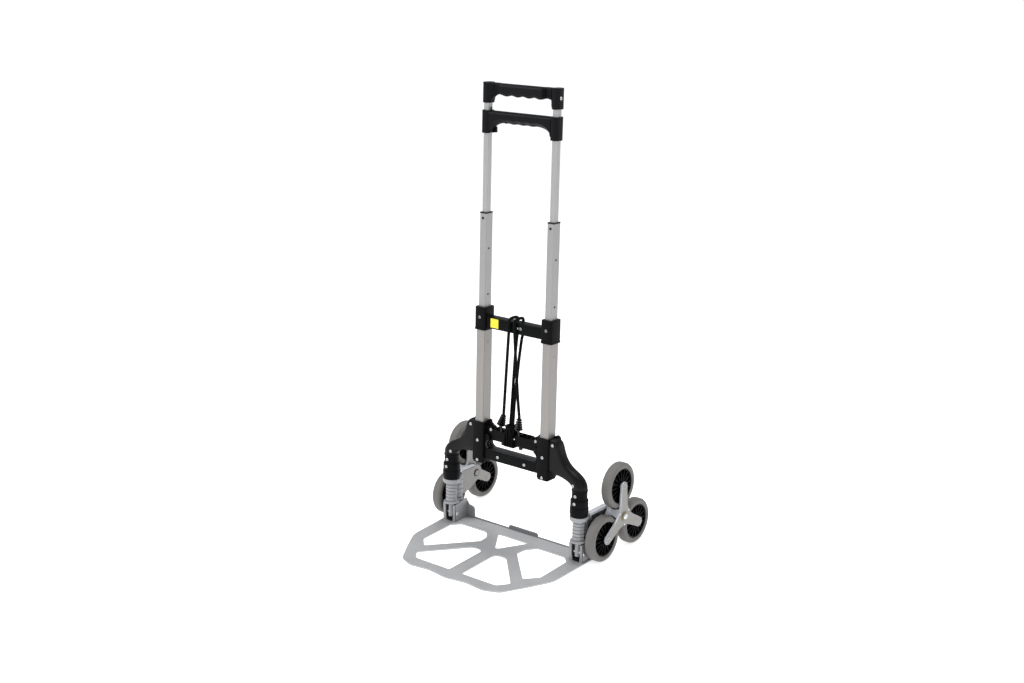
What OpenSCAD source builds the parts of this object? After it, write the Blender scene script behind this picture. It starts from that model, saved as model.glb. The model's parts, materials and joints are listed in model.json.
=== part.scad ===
// Folding stair-climbing hand truck.
// Origin: on the floor, at the middle of the outer box; +X to the right, +Z up, toe plate towards -Y.
// The upright frame leans back about the toe plate's hinge line, so its parts are drawn in frame
// coordinates (u across, v to the rear, w up along the posts, zero on the hinge line) and then leaned.

/* [Frame] */
// Lean of the upright frame from the vertical, degrees
lean = 3; // [2:0.5:4]
// Distance from the middle to each post's centre line
post_x = 88; // [84:1:90]
// Width of an outer tube across the frame
outer_w = 22; // [20:0.5:24]
// Depth of an outer tube, front to rear
outer_d = 28; // [26:0.5:30]
// Wall of the outer and middle tubes
tube_wall = 1.5; // [1.2:0.1:1.6]
// Height of the outer tubes' upper ends above the hinge line
outer_top = 490; // [480:1:500]
// Height of the cross bracket's clamps
clamp_h = 50; // [46:1:54]

/* [Telescopic handle] */
// Height of the middle tubes' upper ends above the hinge line
mid_top = 694; // [690:1:700]
// Height of the release grip's lower face above the hinge line
grip_base = 862; // [856:1:866]
// Height of the handle's top above the hinge line
handle_top = 966; // [963:1:975]

/* [Base bracket and columns] */
// Height of the base bracket's lower edge above the hinge line
bracket_base = 144; // [142:1:148]
// Height of the base bracket's boxes
bracket_h = 93; // [92:1:96]
// Distance from the middle to each front column's centre line
column_x = 175; // [173:1:177]
// Distance of the wheel arms' pivots behind the columns
pivot_v = 26; // [26:0.5:28]
// Distance from the middle to each wheel arm's pivot
pivot_x = 178; // [177.5:0.5:179]

/* [Wheels] */
// Outer radius of each wheel
wheel_r = 50; // [48:0.5:50]
// Distance from a star's centre to its wheels' axles
star_r = 68; // [67:0.5:68]
// Width of a tyre
tyre_w = 23; // [20:0.5:23]
// Distance from the middle to each star's centre plane
star_x = 211; // [210.5:0.5:213]
// Distance of the stars' centres behind the hinge line, along the frame
star_v = 93; // [91:0.5:93]

/* [Toe plate] */
// Half the toe plate's width
plate_half_w = 197; // [190:1:197]
// Depth of the toe plate, rear edge to front edge
plate_depth = 268; // [260:1:275]
// Thickness of the toe plate
plate_t = 3; // [2.5:0.5:3]
// Height of the hinge line above the floor
hinge_z = 22; // [21.5:0.5:23]
// Distance of the hinge line in front of the toe plate's rear edge
hinge_inset = 40.5; // [38:0.5:43]

/* [Bungee cord] */
// Diameter of the elastic cord
cord_d = 6.5; // [5:0.5:7]

/* [Hidden] */
$fn = 48;

// tube sections
mid_w = outer_w - 5;
mid_d = outer_d - 5;
upper_w = mid_w - 4;
upper_d = mid_d - 5.6;
guide_gap = 0.4;
seat_gap = 0.1;
mid_foot = outer_top - 80;
upper_foot = mid_top - 60;
bracket_top = bracket_base + bracket_h;
outer_foot = bracket_base + 4;
clamp_base = outer_top + 3 - clamp_h;
clamp_top = outer_top + 3;

// bar of the cross bracket, between its clamps
bar_base = clamp_base + 6;
bar_h = 25;
bar_front = -12;
bar_rear = 10;

// base bracket: two boxes joined by an upper rail and a lower beam
box_w = 30;
box_front = -18;
box_d = 35;
rail_base = bracket_base + 55;
rail_top = bracket_base + 79;
rail_t = 12;
beam_base = bracket_base + 10;
beam_top = bracket_base + 36;
beam_front = -12;
beam_d = 24;
leg_half_d = 12;
leg_foot = 142;

// column stack, as heights above the hinge line
sleeve_base = 82;
sleeve_step = 120;
sleeve_r = 16.5;
sleeve_low_r = 19;
collar_h = 10;
column_r = 12.5;
ring_base = 23.5;
ring_h = 4.5;
ring_r = 17.5;
rod_r = 6;
rod_foot = -9;

// wheel arm pivot
lug_r = 11;
pin_r = 4;
running = 0.05;
barrel_r = 10.5;
barrel_base = ring_base + ring_h + 0.6;
barrel_top = sleeve_base - collar_h - 0.6;
arm_inner_x = 1;
arm_t = 13;
arm_sheet = 2.5;
arm_front_v = 13.5;

// star and wheels
tray_depth = 5;
sheet_t = 2;
tray_gap = 1.1;
tray_inner = tyre_w / 2 + tray_gap;
tray_outer = tray_inner + tray_depth;
tip_r = 10;
hub_r = 38;
hub_half_w = tyre_w / 2 + 0.5;
floor_to_star = wheel_r + star_r / 2;
star_w = (floor_to_star - hinge_z + star_v * sin(lean)) / cos(lean);

// places on the floor plan, before the origin is moved to the middle of the outer box
hinge_y = -hinge_inset;
star_y = hinge_y + star_v * cos(lean) + star_w * sin(lean);
rear_reach = star_y + star_r * cos(30) + wheel_r;
shift_y = (plate_depth - rear_reach) / 2;

// cord routes in frame coordinates, from the hitch over the cross bracket's bar to the hooks
cord_left_route = [
    [-6, -8.6, 224], [-6, -8.5, 236], [-6.3, -7, 250], [-9, 0.5, 300], [-10.5, 8, 380], [-10, 12.5, 430],
    [-9, 14.4, 448], [-9, 14.2, 466], [-9, 13.6, 475], [-9, 11.6, 478.6], [-9, 6.5, 480.3], [-9, -1, 480.6],
    [-9, -8.5, 480.3], [-9, -13.4, 478.6], [-9, -15.6, 475], [-9, -16.2, 466], [-10, -16.2, 440],
    [-13.5, -15.6, 380], [-18, -14.4, 306], [-20.6, -13.2, 272], [-21.3, -13, 263],
];
cord_right_route = [
    [0.8, -8.6, 224], [0.8, -8.5, 236], [0.5, -7, 250], [-2.2, 0.5, 300], [0, 8, 380], [3, 12.5, 430],
    [5.6, 14.4, 448], [5.6, 14.2, 466], [5.6, 13.6, 475], [5.6, 11.6, 478.6], [5.6, 6.5, 480.3],
    [5.6, -1, 480.6], [5.6, -8.5, 480.3], [5.6, -13.4, 478.6], [5.6, -15.6, 475], [5.6, -16.2, 466],
    [7, -16.2, 440], [11.5, -15.6, 380], [17.8, -14.4, 306], [21, -13.2, 272], [21.3, -13, 263],
];
cord_sides = 10;
cord_steps = 3;
hook_u = 21.3;
hook_v = -13;
hook_top = 264;
hook_len = 25;
hook_wire = 4.5;
hitch_turns = [-12, 5];

// ---------- helpers ----------

module shifted() { translate([0, shift_y, 0]) children(); }

// frame coordinates to the model's own
module leaned() { shifted() translate([0, hinge_y, hinge_z]) rotate([-lean, 0, 0]) children(); }

module mirrored(side) {
    if (side < 0) mirror([1, 0, 0]) children();
    else children();
}

// rectangle with round corners, centred
module round_rect(w, d, r) {
    square([w - 2 * r, d], center = true);
    square([w, d - 2 * r], center = true);
    for (x = [-1, 1]) for (y = [-1, 1]) translate([x * (w / 2 - r), y * (d / 2 - r)]) circle(r);
}

module ring_rect(w, d, r, hole_w, hole_d, hole_r) {
    difference() {
        round_rect(w, d, r);
        round_rect(hole_w, hole_d, hole_r);
    }
}

function unit(v) = v / norm(v);
function turn(a) = a > 180 ? a - 360 : a < -180 ? a + 360 : a;

// corner q = [x, y, radius] of an outline between its neighbours p and s, as an arc
function corner(p, q, s, n) =
    let (
        b = [q[0], q[1]],
        to_p = unit([p[0], p[1]] - b),
        to_s = unit([s[0], s[1]] - b),
        half = acos(to_p * to_s) / 2,
        c = b + unit(to_p + to_s) * q[2] / sin(half),
        start = b + to_p * q[2] / tan(half) - c,
        end = b + to_s * q[2] / tan(half) - c,
        a0 = atan2(start[1], start[0]),
        sweep = turn(atan2(end[1], end[0]) - a0)
    )
    [for (i = [0:n]) c + q[2] * [cos(a0 + sweep * i / n), sin(a0 + sweep * i / n)]];

function rounded(pts, n = 6) =
    let (m = len(pts))
    [for (i = [0:m - 1]) each corner(pts[(i + m - 1) % m], pts[i], pts[(i + 1) % m], n)];

// upright plate in the Y-Z plane from an outline drawn as [y, z], between two X values
module side_plate(x0, x1) {
    translate([x0, 0, 0]) rotate([90, 0, 90]) linear_extrude(x1 - x0) children();
}

// plate facing front, from an outline drawn as [x, z], between two Y values
module front_plate(y0, y1) {
    translate([0, y1, 0]) rotate([90, 0, 0]) linear_extrude(y1 - y0) children();
}

// smooth curve through a route's points
function spline_point(p, i, t) =
    let (
        n = len(p) - 1,
        a = p[max(i - 1, 0)],
        b = p[i],
        c = p[min(i + 1, n)],
        d = p[min(i + 2, n)]
    )
    0.5 * (2 * b + (c - a) * t + (2 * a - 5 * b + 4 * c - d) * t * t
        + (3 * b - a - 3 * c + d) * t * t * t);

function spline(p, steps) = [
    for (i = [0:len(p) - 2]) for (k = [0:steps - 1]) spline_point(p, i, k / steps),
    p[len(p) - 1],
];

// the cord's plane of rings is spanned by X and a vector across the route
module cord(route, r, sides, steps) {
    path = spline(route, steps);
    last = len(path) - 1;
    points = [
        for (i = [0:last])
            let (
                along = unit(path[min(i + 1, last)] - path[max(i - 1, 0)]),
                across = unit([1, 0, 0] - along * along[0]),
                up = cross(along, across)
            )
            for (k = [0:sides - 1])
                path[i] + r * (across * cos(360 * k / sides) + up * sin(360 * k / sides))
    ];
    faces = concat(
        [[for (k = [sides - 1:-1:0]) k]],
        [[for (k = [0:sides - 1]) last * sides + k]],
        [for (i = [0:last - 1]) for (k = [0:sides - 1]) [
            i * sides + k,
            i * sides + (k + 1) % sides,
            (i + 1) * sides + (k + 1) % sides,
            (i + 1) * sides + k,
        ]]
    );
    polyhedron(points, [for (f = faces) [for (k = [len(f) - 1:-1:0]) f[k]]]);
}

// domed screw head with its shank, along -Y from a front face
module front_screw(head_r = 3.4) {
    rotate([90, 0, 0]) {
        cylinder(h = 1.1, r = head_r);
        translate([0, 0, 1.1]) cylinder(h = 0.8, r1 = head_r, r2 = head_r - 1.2);
    }
}

// ---------- upright frame ----------

module tube(w, d, wall, r, foot, top) {
    translate([0, 0, foot]) linear_extrude(top - foot)
        ring_rect(w, d, r, w - 2 * wall, d - 2 * wall, r - wall + 0.5);
}

module outer_tube(side) {
    color([0.68, 0.67, 0.65]) leaned() translate([side * post_x, 0, 0])
        tube(outer_w, outer_d, tube_wall, 2.2, outer_foot, outer_top);
}

module bracket_box() {
    translate([0, 0, bracket_base]) difference() {
        translate([0, box_front + box_d / 2, 0]) linear_extrude(bracket_h) round_rect(box_w, box_d, 2.5);
        translate([0, 0, 4 - seat_gap]) linear_extrude(bracket_h)
            round_rect(outer_w + 2 * seat_gap, outer_d + 2 * seat_gap, 2.2);
    }
}

// rail with rounded teeth for hooks along its upper edge
module rail_outline() {
    half = post_x - box_w / 2 + 1;
    difference() {
        translate([-half, rail_base]) square([2 * half, rail_top - rail_base + 4]);
        for (u = [-54, -42, 42, 54]) translate([u, rail_top + 4]) circle(4.5);
        translate([-33, rail_top]) square([66, 5]);
    }
}

// web that rounds an end of the carry slot beside a box
module slot_corner() {
    r = (rail_base - beam_top) / 2;
    slot_end = post_x - box_w / 2 - 4;
    translate([slot_end - r, beam_top + r]) difference() {
        translate([0, -r]) square([r + 5, 2 * r]);
        circle(r);
    }
}

module base_bracket() {
    color([0.09, 0.09, 0.1]) leaned() {
        for (s = [-1, 1]) translate([s * post_x, 0, 0]) bracket_box();
        front_plate(-rail_t / 2, rail_t / 2) rail_outline();
        front_plate(beam_front, beam_front + beam_d)
            translate([-post_x + box_w / 2 - 1, beam_base]) square([2 * post_x - box_w + 2, beam_top - beam_base]);
        for (s = [-1, 1]) mirrored(s) front_plate(beam_front, rail_t / 2) slot_corner();
    }
}

// shoulder that sweeps out and down from a box to the sleeve
module leg_outline() {
    inner = post_x + box_w / 2;
    polygon(rounded([
        [inner, bracket_base + 19, 0.5], [inner, bracket_top, 0.5], [inner + 14, bracket_top, 5],
        [inner + 24, 212, 25], [142, 188, 25], [170, 172, 15], [191, 152, 12],
        [191, leg_foot, 0.5], [159, leg_foot, 0.5], [155, 149, 4], [137, 158, 25],
    ], 5));
}

module leg(side) {
    color([0.09, 0.09, 0.1]) leaned() mirrored(side)
        front_plate(-leg_half_d, leg_half_d) leg_outline();
}

module sleeve(side) {
    color([0.07, 0.07, 0.08]) leaned() translate([side * column_x, 0, 0]) {
        translate([0, 0, sleeve_base]) cylinder(h = sleeve_step - sleeve_base, r = sleeve_low_r);
        translate([0, 0, sleeve_step]) cylinder(h = leg_foot - sleeve_step, r = sleeve_r);
    }
}

// grey column: collar, ribbed shaft and lower ring, with two lugs for the wheel arm's pin
module column(side) {
    collar_base = sleeve_base - collar_h;
    ring_top = ring_base + ring_h;
    color([0.62, 0.63, 0.65]) leaned() translate([side * column_x, 0, 0]) {
        translate([0, 0, collar_base]) cylinder(h = collar_h, r = sleeve_low_r + 1);
        translate([0, 0, ring_base]) cylinder(h = ring_h, r = ring_r);
        translate([0, 0, ring_top]) cylinder(h = collar_base - ring_top, r = column_r - 1.2);
        for (k = [0:4]) translate([0, 0, ring_top + 3 + 8 * k]) cylinder(h = 4.5, r = column_r);
        for (w = [ring_base, collar_base + 1]) translate([0, 0, w]) lug(side);
    }
}

module lug(side) {
    across = side * (pivot_x - column_x);
    difference() {
        union() {
            translate([across, pivot_v, 0]) cylinder(h = ring_h, r = lug_r);
            translate([across - lug_r, 4, 0]) cube([2 * lug_r, pivot_v - 4, ring_h]);
        }
        translate([across, pivot_v, -1]) cylinder(h = ring_h + 2, r = pin_r + running);
        translate([0, 0, -1]) cylinder(h = ring_h + 2, r = column_r - 2);
    }
}

module pivot_pins() {
    lug_low = ring_base;
    lug_high = sleeve_base - collar_h + 1 + ring_h;
    color([0.75, 0.75, 0.77]) leaned() for (s = [-1, 1]) translate([s * pivot_x, pivot_v, 0]) {
        translate([0, 0, lug_low]) cylinder(h = lug_high - lug_low, r = pin_r);
        translate([0, 0, lug_high]) cylinder(h = 2, r = 5.5);
        translate([0, 0, lug_low - 2]) cylinder(h = 2, r = 5.5);
    }
}

// rod below the ring, with the cross bore for the toe plate's hinge pin
module column_end(side) {
    color([0.6, 0.61, 0.63]) leaned() translate([side * column_x, 0, 0]) difference() {
        translate([0, 0, rod_foot]) cylinder(h = ring_base - rod_foot, r = rod_r);
        rotate([0, 90, 0]) cylinder(h = 2 * rod_r + 2, r = 3 + running, center = true);
    }
}

module cross_bracket() {
    half = post_x - 12;
    color([0.1, 0.1, 0.11]) leaned() {
        for (s = [-1, 1]) translate([s * post_x, 0, 0]) difference() {
            translate([0, 0, clamp_base]) linear_extrude(clamp_h) round_rect(outer_w + 6, outer_d + 6, 4);
            translate([0, 0, clamp_base - 1]) linear_extrude(outer_top - clamp_base + 1 + seat_gap)
                round_rect(outer_w + 2 * seat_gap, outer_d + 2 * seat_gap, 2.2);
            translate([0, 0, outer_top - 1]) linear_extrude(clamp_top - outer_top + 2)
                round_rect(mid_w + 2 * guide_gap, mid_d + 2 * guide_gap, 2);
        }
        difference() {
            translate([-half, bar_front, bar_base]) cube([2 * half, bar_rear - bar_front, bar_h]);
            for (s = [-1, 1]) translate([s * post_x, 0, clamp_base]) linear_extrude(clamp_h)
                round_rect(outer_w + 5, outer_d + 5, 3.5);
        }
    }
}

// screws on the front faces of the base bracket, the legs and the sleeves
module frame_screws() {
    places = [
        [post_x, box_front, bracket_base + 6], [post_x, box_front, bracket_base + 51],
        [111, -leg_half_d, bracket_top - 11], [167, -leg_half_d, 150],
        [column_x, -sleeve_r, 129], [column_x, -sleeve_low_r, 113],
        [61, -rail_t / 2, rail_top - 1], [36, beam_front, bracket_base + 21],
    ];
    color([0.8, 0.8, 0.82]) leaned() for (s = [-1, 1]) for (p = places)
        translate([s * p[0], p[1], p[2]]) front_screw();
}

module cross_screws() {
    color([0.78, 0.78, 0.8]) leaned() {
        for (s = [-1, 1]) translate([s * post_x, -outer_d / 2 - 3, clamp_base + 28]) front_screw(3.2);
        translate([18, bar_front, clamp_base + 19]) front_screw(3.2);
    }
}

module label() {
    color([0.95, 0.85, 0.05]) leaned()
        translate([-62, bar_front - 0.4, clamp_base + 9]) cube([21, 0.4, 20]);
}

// ---------- bungee cord ----------

module bungee(route) {
    color([0.05, 0.05, 0.05]) leaned() cord(route, cord_d / 2, cord_sides, cord_steps);
}

// two turns of the cord round the rail, joined by a loop across the front
module bungee_hitch() {
    rail_mid = (rail_base + rail_top) / 2;
    inner_d = rail_t + 0.2;
    inner_h = rail_top - rail_base + 0.2;
    loop_v = -inner_d / 2 - cord_d - 1.8;
    loop_w = rail_top + 3;
    color([0.05, 0.05, 0.05]) leaned() {
        for (u = hitch_turns) side_plate(u - cord_d / 2, u + cord_d / 2) translate([0, rail_mid])
            ring_rect(inner_d + 2 * cord_d, inner_h + 2 * cord_d, cord_d + 1, inner_d, inner_h, 0.4);
        translate([hitch_turns[0], loop_v, loop_w]) rotate([0, 90, 0])
            cylinder(h = hitch_turns[1] - hitch_turns[0], r = cord_d / 2);
        for (u = hitch_turns) translate([u, loop_v, loop_w]) {
            sphere(cord_d / 2);
            rotate([-90, 0, 0]) cylinder(h = cord_d, r = cord_d / 2);
        }
    }
}

// ribbed cord end, tilted outwards, above a bent hook that grips the rail from above, behind and below
module hook(side, tilt) {
    rail_mid = (rail_base + rail_top) / 2;
    inner_d = rail_t + 0.6;
    inner_h = rail_top - rail_base + 0.6;
    pin_u = hook_u + hook_len * sin(tilt);
    ribs = 4;
    pitch = (hook_len - 3) / ribs;
    neck_w = rail_top + hook_wire / 2;
    neck_v = -(inner_d + hook_wire) / 2;
    neck_to_w = hook_top - hook_len * cos(tilt) + 1;
    color([0.06, 0.06, 0.06]) leaned() mirrored(side) {
        translate([hook_u, hook_v, hook_top]) rotate([0, 180 - tilt, 0]) {
            cylinder(h = hook_len, r = 4.4);
            for (k = [0:ribs - 1]) translate([0, 0, 2.5 + pitch * k]) cylinder(h = 3, r = 5.8);
        }
        translate([pin_u, neck_v, neck_w]) rotate([atan2(neck_v - hook_v, neck_to_w - neck_w), 0, 0])
            cylinder(h = norm([neck_v - hook_v, neck_to_w - neck_w]), r = hook_wire / 2);
        side_plate(pin_u - hook_wire / 2, pin_u + hook_wire / 2) translate([0, rail_mid]) difference() {
            ring_rect(inner_d + 2 * hook_wire, inner_h + 2 * hook_wire, 3.5, inner_d, inner_h, 0.4);
            translate([-inner_d / 2 - hook_wire - 1, -inner_h / 2]) square([hook_wire + 1.5, inner_h]);
        }
    }
}

// ---------- telescopic handle ----------

module mid_tube(side) {
    button_w = mid_top - 10;
    color([0.72, 0.71, 0.7]) leaned() translate([side * post_x, 0, 0]) difference() {
        tube(mid_w, mid_d, tube_wall, 2, mid_foot, mid_top);
        translate([0, 0, button_w]) rotate([90, 0, 0]) cylinder(h = mid_d, r = 2.6);
        for (w = [outer_top + 30, mid_top - 75]) translate([0, 0, w]) rotate([0, 90, 0])
            cylinder(h = mid_w, r = 1.8);
    }
}

module mid_bushes() {
    color([0.08, 0.08, 0.09]) leaned() for (s = [-1, 1]) translate([s * post_x, 0, mid_top])
        linear_extrude(2.5)
            ring_rect(mid_w + 0.8, mid_d + 0.8, 2.2, upper_w + 2 * guide_gap, upper_d + 2 * guide_gap, 4.2);
}

// snap button in the middle tube's front wall; it slides in its hole
module button(side) {
    button_w = mid_top - 10;
    head = 1.2;
    color([0.04, 0.04, 0.04]) leaned() translate([side * post_x, -mid_d / 2 - head, button_w])
        rotate([-90, 0, 0]) cylinder(h = head + tube_wall, r = 2.5);
}

module upper_tube(side) {
    color([0.76, 0.76, 0.76]) leaned() translate([side * post_x, 0, 0])
        tube(upper_w, upper_d, 1.2, 4.2, upper_foot, handle_top - 4);
}

// quarter fillet between a grip and a tube block, hollow side towards the hand
module fillet_outline(r) {
    difference() {
        square(r);
        translate([r, r]) circle(r);
    }
}

// grip bar with finger hollows along its lower side
module grip(half, base, top, depth, hollows) {
    difference() {
        translate([-half, 0, (base + top) / 2]) rotate([90, 0, 90]) linear_extrude(2 * half)
            round_rect(depth, top - base, 6);
        for (k = [0:hollows - 1]) translate([(k - (hollows - 1) / 2) * 21, 0, base - 16.5])
            rotate([90, 0, 0]) cylinder(h = depth + 2, r = 18, center = true);
    }
}

module top_handle() {
    block_h = 42;
    block_w = upper_w + 6;
    block_d = upper_d + 5;
    base = handle_top - block_h;
    grip_low = handle_top - 24;
    inner = post_x - block_w / 2;
    color([0.12, 0.12, 0.13]) leaned() {
        for (s = [-1, 1]) translate([s * post_x, 0, base]) difference() {
            linear_extrude(block_h) round_rect(block_w, block_d, 5);
            translate([0, 0, -1]) linear_extrude(block_h - 3 + seat_gap)
                round_rect(upper_w + 2 * seat_gap, upper_d + 2 * seat_gap, 4.2);
        }
        grip(inner + 1, grip_low, handle_top, 20, 5);
        for (s = [-1, 1]) mirrored(s) front_plate(1, 9)
            translate([inner + 0.5, grip_low + 2]) rotate(180) fillet_outline(18);
    }
}

module handle_screws() {
    block_w = upper_w + 6;
    color([0.8, 0.8, 0.82]) leaned() for (s = [-1, 1])
        translate([s * (post_x + block_w / 2), 0, handle_top - 20]) rotate([0, 0, s * 90]) front_screw(3);
}

// squeeze grip that slides on the upper tubes
module release_grip() {
    block_h = 47;
    block_w = upper_w + 7;
    block_d = upper_d + 7;
    grip_low = grip_base + 23;
    inner = post_x - block_w / 2;
    color([0.11, 0.11, 0.12]) leaned() {
        for (s = [-1, 1]) translate([s * post_x, 0, grip_base]) linear_extrude(block_h)
            ring_rect(block_w, block_d, 5, upper_w + 2 * guide_gap, upper_d + 2 * guide_gap, 4.2);
        grip(inner + 1, grip_low, grip_base + block_h, 21, 4);
        for (s = [-1, 1]) mirrored(s) front_plate(-9, 9)
            translate([inner + 0.5, grip_low + 2]) rotate(180) fillet_outline(20);
    }
}

// ---------- toe plate ----------

module plate_outline() {
    w = plate_half_w;
    d = plate_depth;
    half = [
        [w - 5, -150, 60], [w - 32, -200, 30], [133, -254, 28], [98, -(d - 1), 30], [50, -(d - 7), 60],
    ];
    polygon(rounded(concat(
        [[-w, 0, 3], [w, 0, 3]],
        half,
        [[0, -d - 1, 60]],
        [for (k = [len(half) - 1:-1:0]) [-half[k][0], half[k][1], half[k][2]]]
    ), 5));
}

module plate_windows() {
    for (s = [-1, 1]) mirrored(s) {
        polygon(rounded([
            [161, -62, 10], [143, -43, 10], [70, -43, 16], [52, -66, 14],
            [50, -90, 4], [135, -180, 4], [161, -153, 8],
        ], 4));
        polygon(rounded([[16, -236, 4], [16, -122, 14], [46, -121, 18], [129, -212, 6], [109, -236, 10]], 4));
    }
    polygon(rounded([[-43, -36, 3], [43, -36, 3], [0, -104, 7]], 4));
}

module toe_plate() {
    tab_half = 40;
    tab_h = 13;
    color([0.62, 0.64, 0.66]) shifted() {
        linear_extrude(plate_t) difference() {
            plate_outline();
            plate_windows();
        }
        // lip along the rear edge and the tab bent up at its middle
        translate([-plate_half_w + 50, -2.5, plate_t - 0.5]) cube([2 * plate_half_w - 100, 2.5, 2.5]);
        front_plate(-2.5, 0) polygon(rounded([
            [-tab_half, plate_t - 0.5, 0.2], [-tab_half, tab_h, 5], [tab_half, tab_h, 5],
            [tab_half, plate_t - 0.5, 0.2],
        ]));
    }
}

// folded sheet bracket: two walls round the column's end and a flange behind the inner one
module hinge_bracket(side) {
    inner_gap = 15;
    wall = 2;
    front = -17.5;
    rear = hinge_inset - 3;
    high = 20.8;
    low = plate_t - hinge_z;
    swing_r = 22;
    color([0.6, 0.62, 0.65]) shifted() translate([side * column_x, hinge_y, hinge_z]) mirrored(side) {
        for (x = [-inner_gap - wall, inner_gap]) difference() {
            side_plate(x, x + wall) intersection() {
                polygon([
                    [front, low], [front, high], [8, high], [rear - 6, 12],
                    [rear, 8], [rear, low],
                ]);
                union() {
                    circle(swing_r);
                    translate([0, low]) square([rear, high - low]);
                    translate([front, low]) square([rear - front, -low]);
                }
            }
            translate([x - 1, 0, 0]) rotate([0, 90, 0]) cylinder(h = wall + 2, r = 3 + running);
        }
        translate([-inner_gap - 22, rear - wall, 0]) front_plate(0, wall)
            polygon(rounded([[0, low, 0.2], [0, 10, 8], [20.5, 10, 0.5], [20.5, low, 0.2]]));
        translate([-inner_gap, front + 1, low]) cube([2 * inner_gap, 33, 1.5]);
    }
}

module hinge_pins() {
    reach = 17;
    color([0.8, 0.8, 0.82]) shifted() for (s = [-1, 1]) translate([s * column_x, hinge_y, hinge_z])
        rotate([0, 90, 0]) {
            cylinder(h = 2 * reach, r = 3, center = true);
            for (e = [-1, 1]) translate([0, 0, e * (reach + 0.6)]) cylinder(h = 1.2, r = 5, center = true);
        }
}

// ---------- wheel arms ----------

// outline of an arm behind its pivot, in v and w from the pivot and the hinge line
module arm_outline() {
    axle_v = star_v - pivot_v;
    polygon(rounded([
        [arm_front_v, 30, 1], [arm_front_v, 86, 2], [38, 86, 8], [axle_v + 3, star_w + 15, 12],
        [axle_v + 15, star_w + 4, 10], [axle_v + 10, star_w - 14, 12], [axle_v - 14, star_w - 16, 20],
    ], 4));
}

module at_pivot(side) {
    leaned() mirrored(side) translate([pivot_x, pivot_v, 0]) children();
}

module axle_bore(r) {
    translate([-1, star_v - pivot_v, star_w]) rotate([0, 90, 0]) cylinder(h = 60, r = r);
}

// sheet cover on the arm's inner face, with its top flange
module arm_shell(side) {
    color([0.63, 0.64, 0.65]) at_pivot(side) difference() {
        union() {
            side_plate(arm_inner_x, arm_inner_x + arm_sheet) arm_outline();
            side_plate(arm_inner_x, arm_inner_x + arm_t) intersection() {
                arm_outline();
                translate([arm_front_v, 83.5]) square([28, 3]);
            }
        }
        axle_bore(4 + seat_gap);
    }
}

// black lattice filling the arm's outer side
module arm_core(side) {
    cell = 13;
    rib = 2;
    color([0.07, 0.07, 0.08]) at_pivot(side) difference() {
        union() {
            side_plate(arm_inner_x + arm_sheet, arm_inner_x + arm_t) difference() {
                intersection() {
                    arm_outline();
                    translate([0, 0]) square([120, 83.4]);
                }
                intersection() {
                    translate([arm_front_v + 3, 33]) square([star_v - pivot_v - arm_front_v - 16, 47.5]);
                    union() for (i = [-1:7]) for (k = [0:7])
                        translate([8 + cell * i * 0.75 + cell * k * 0.75, 30 + cell * 0.75 * (k - i)])
                            rotate(45) square(cell - rib, center = true);
                }
            }
            side_plate(arm_inner_x + arm_sheet, arm_inner_x + arm_sheet + 2) intersection() {
                arm_outline();
                square([120, 83.4]);
            }
        }
        axle_bore(4 + seat_gap);
    }
}

// ribbed barrel that turns on the pin
module arm_barrel(side) {
    color([0.62, 0.63, 0.65]) at_pivot(side) difference() {
        union() {
            translate([0, 0, barrel_base]) cylinder(h = barrel_top - barrel_base, r = barrel_r - 1);
            for (k = [0:3]) translate([0, 0, barrel_base + 3 + 9 * k]) cylinder(h = 5, r = barrel_r);
            translate([arm_inner_x, 6, 32]) cube([arm_t - 4, arm_front_v - 6, 30]);
        }
        translate([0, 0, barrel_base - 1]) cylinder(h = barrel_top - barrel_base + 2, r = pin_r + running);
    }
}

// axle bolt through the arm and the star, with its head, washer and nut
module axle(side) {
    inner_end = pivot_x + arm_inner_x;
    outer_end = star_x + tray_outer;
    color([0.78, 0.76, 0.7]) shifted() mirrored(side) translate([0, star_y, floor_to_star]) rotate([0, 90, 0]) {
        translate([0, 0, inner_end]) cylinder(h = outer_end - inner_end + 1, r = 4);
        translate([0, 0, inner_end - 1.5]) cylinder(h = 1.5, r = 7);
        translate([0, 0, inner_end - 5]) cylinder(h = 3.5, r = 6, $fn = 6);
        translate([0, 0, outer_end + 0.4]) cylinder(h = 1.2, r = 8);
        translate([0, 0, outer_end + 1.6]) cylinder(h = 3.4, r = 5, $fn = 6);
    }
}

// ---------- stars and wheels ----------

// three-armed plate with hollow sides between its arms
module star_outline(grow = 0) {
    waist = 31 + grow;
    offset_r = 49 - grow;
    difference() {
        union() for (a = [90, 210, 330]) rotate(a) {
            translate([star_r, 0]) circle(tip_r + grow);
            translate([0, -tip_r - 8]) square([star_r * 0.45, 2 * tip_r + 16]);
            translate([0, -tip_r - grow]) square([star_r, 2 * (tip_r + grow)]);
            circle(waist);
        }
        for (a = [30, 150, 270]) rotate(a) translate([waist + offset_r - 8, 0]) circle(offset_r);
    }
}

// star coordinates: X across, Y to the rear, Z up, at the star's centre
module at_star(side) {
    shifted() mirrored(side) translate([star_x, star_y, floor_to_star]) children();
}

module tray() {
    side_plate(tray_outer - sheet_t, tray_outer) star_outline();
    side_plate(tray_inner, tray_outer) difference() {
        star_outline();
        star_outline(-1.6);
    }
}

module star_frame(side) {
    color([0.66, 0.66, 0.65]) at_star(side) difference() {
        union() {
            tray();
            mirror([1, 0, 0]) tray();
            // webs that join the plates in the gaps between the wheels
            for (a = [30, 150, 270]) side_plate(-tray_outer + 1, tray_outer - 1) rotate(a)
                translate([17, -9]) square([3, 18]);
        }
        rotate([0, 90, 0]) cylinder(h = 80, r = 4 + running, center = true);
        for (a = [90, 210, 330]) rotate([a - 90, 0, 0]) translate([0, 0, star_r]) rotate([0, 90, 0])
            cylinder(h = 80, r = 4, center = true);
    }
}

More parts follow.
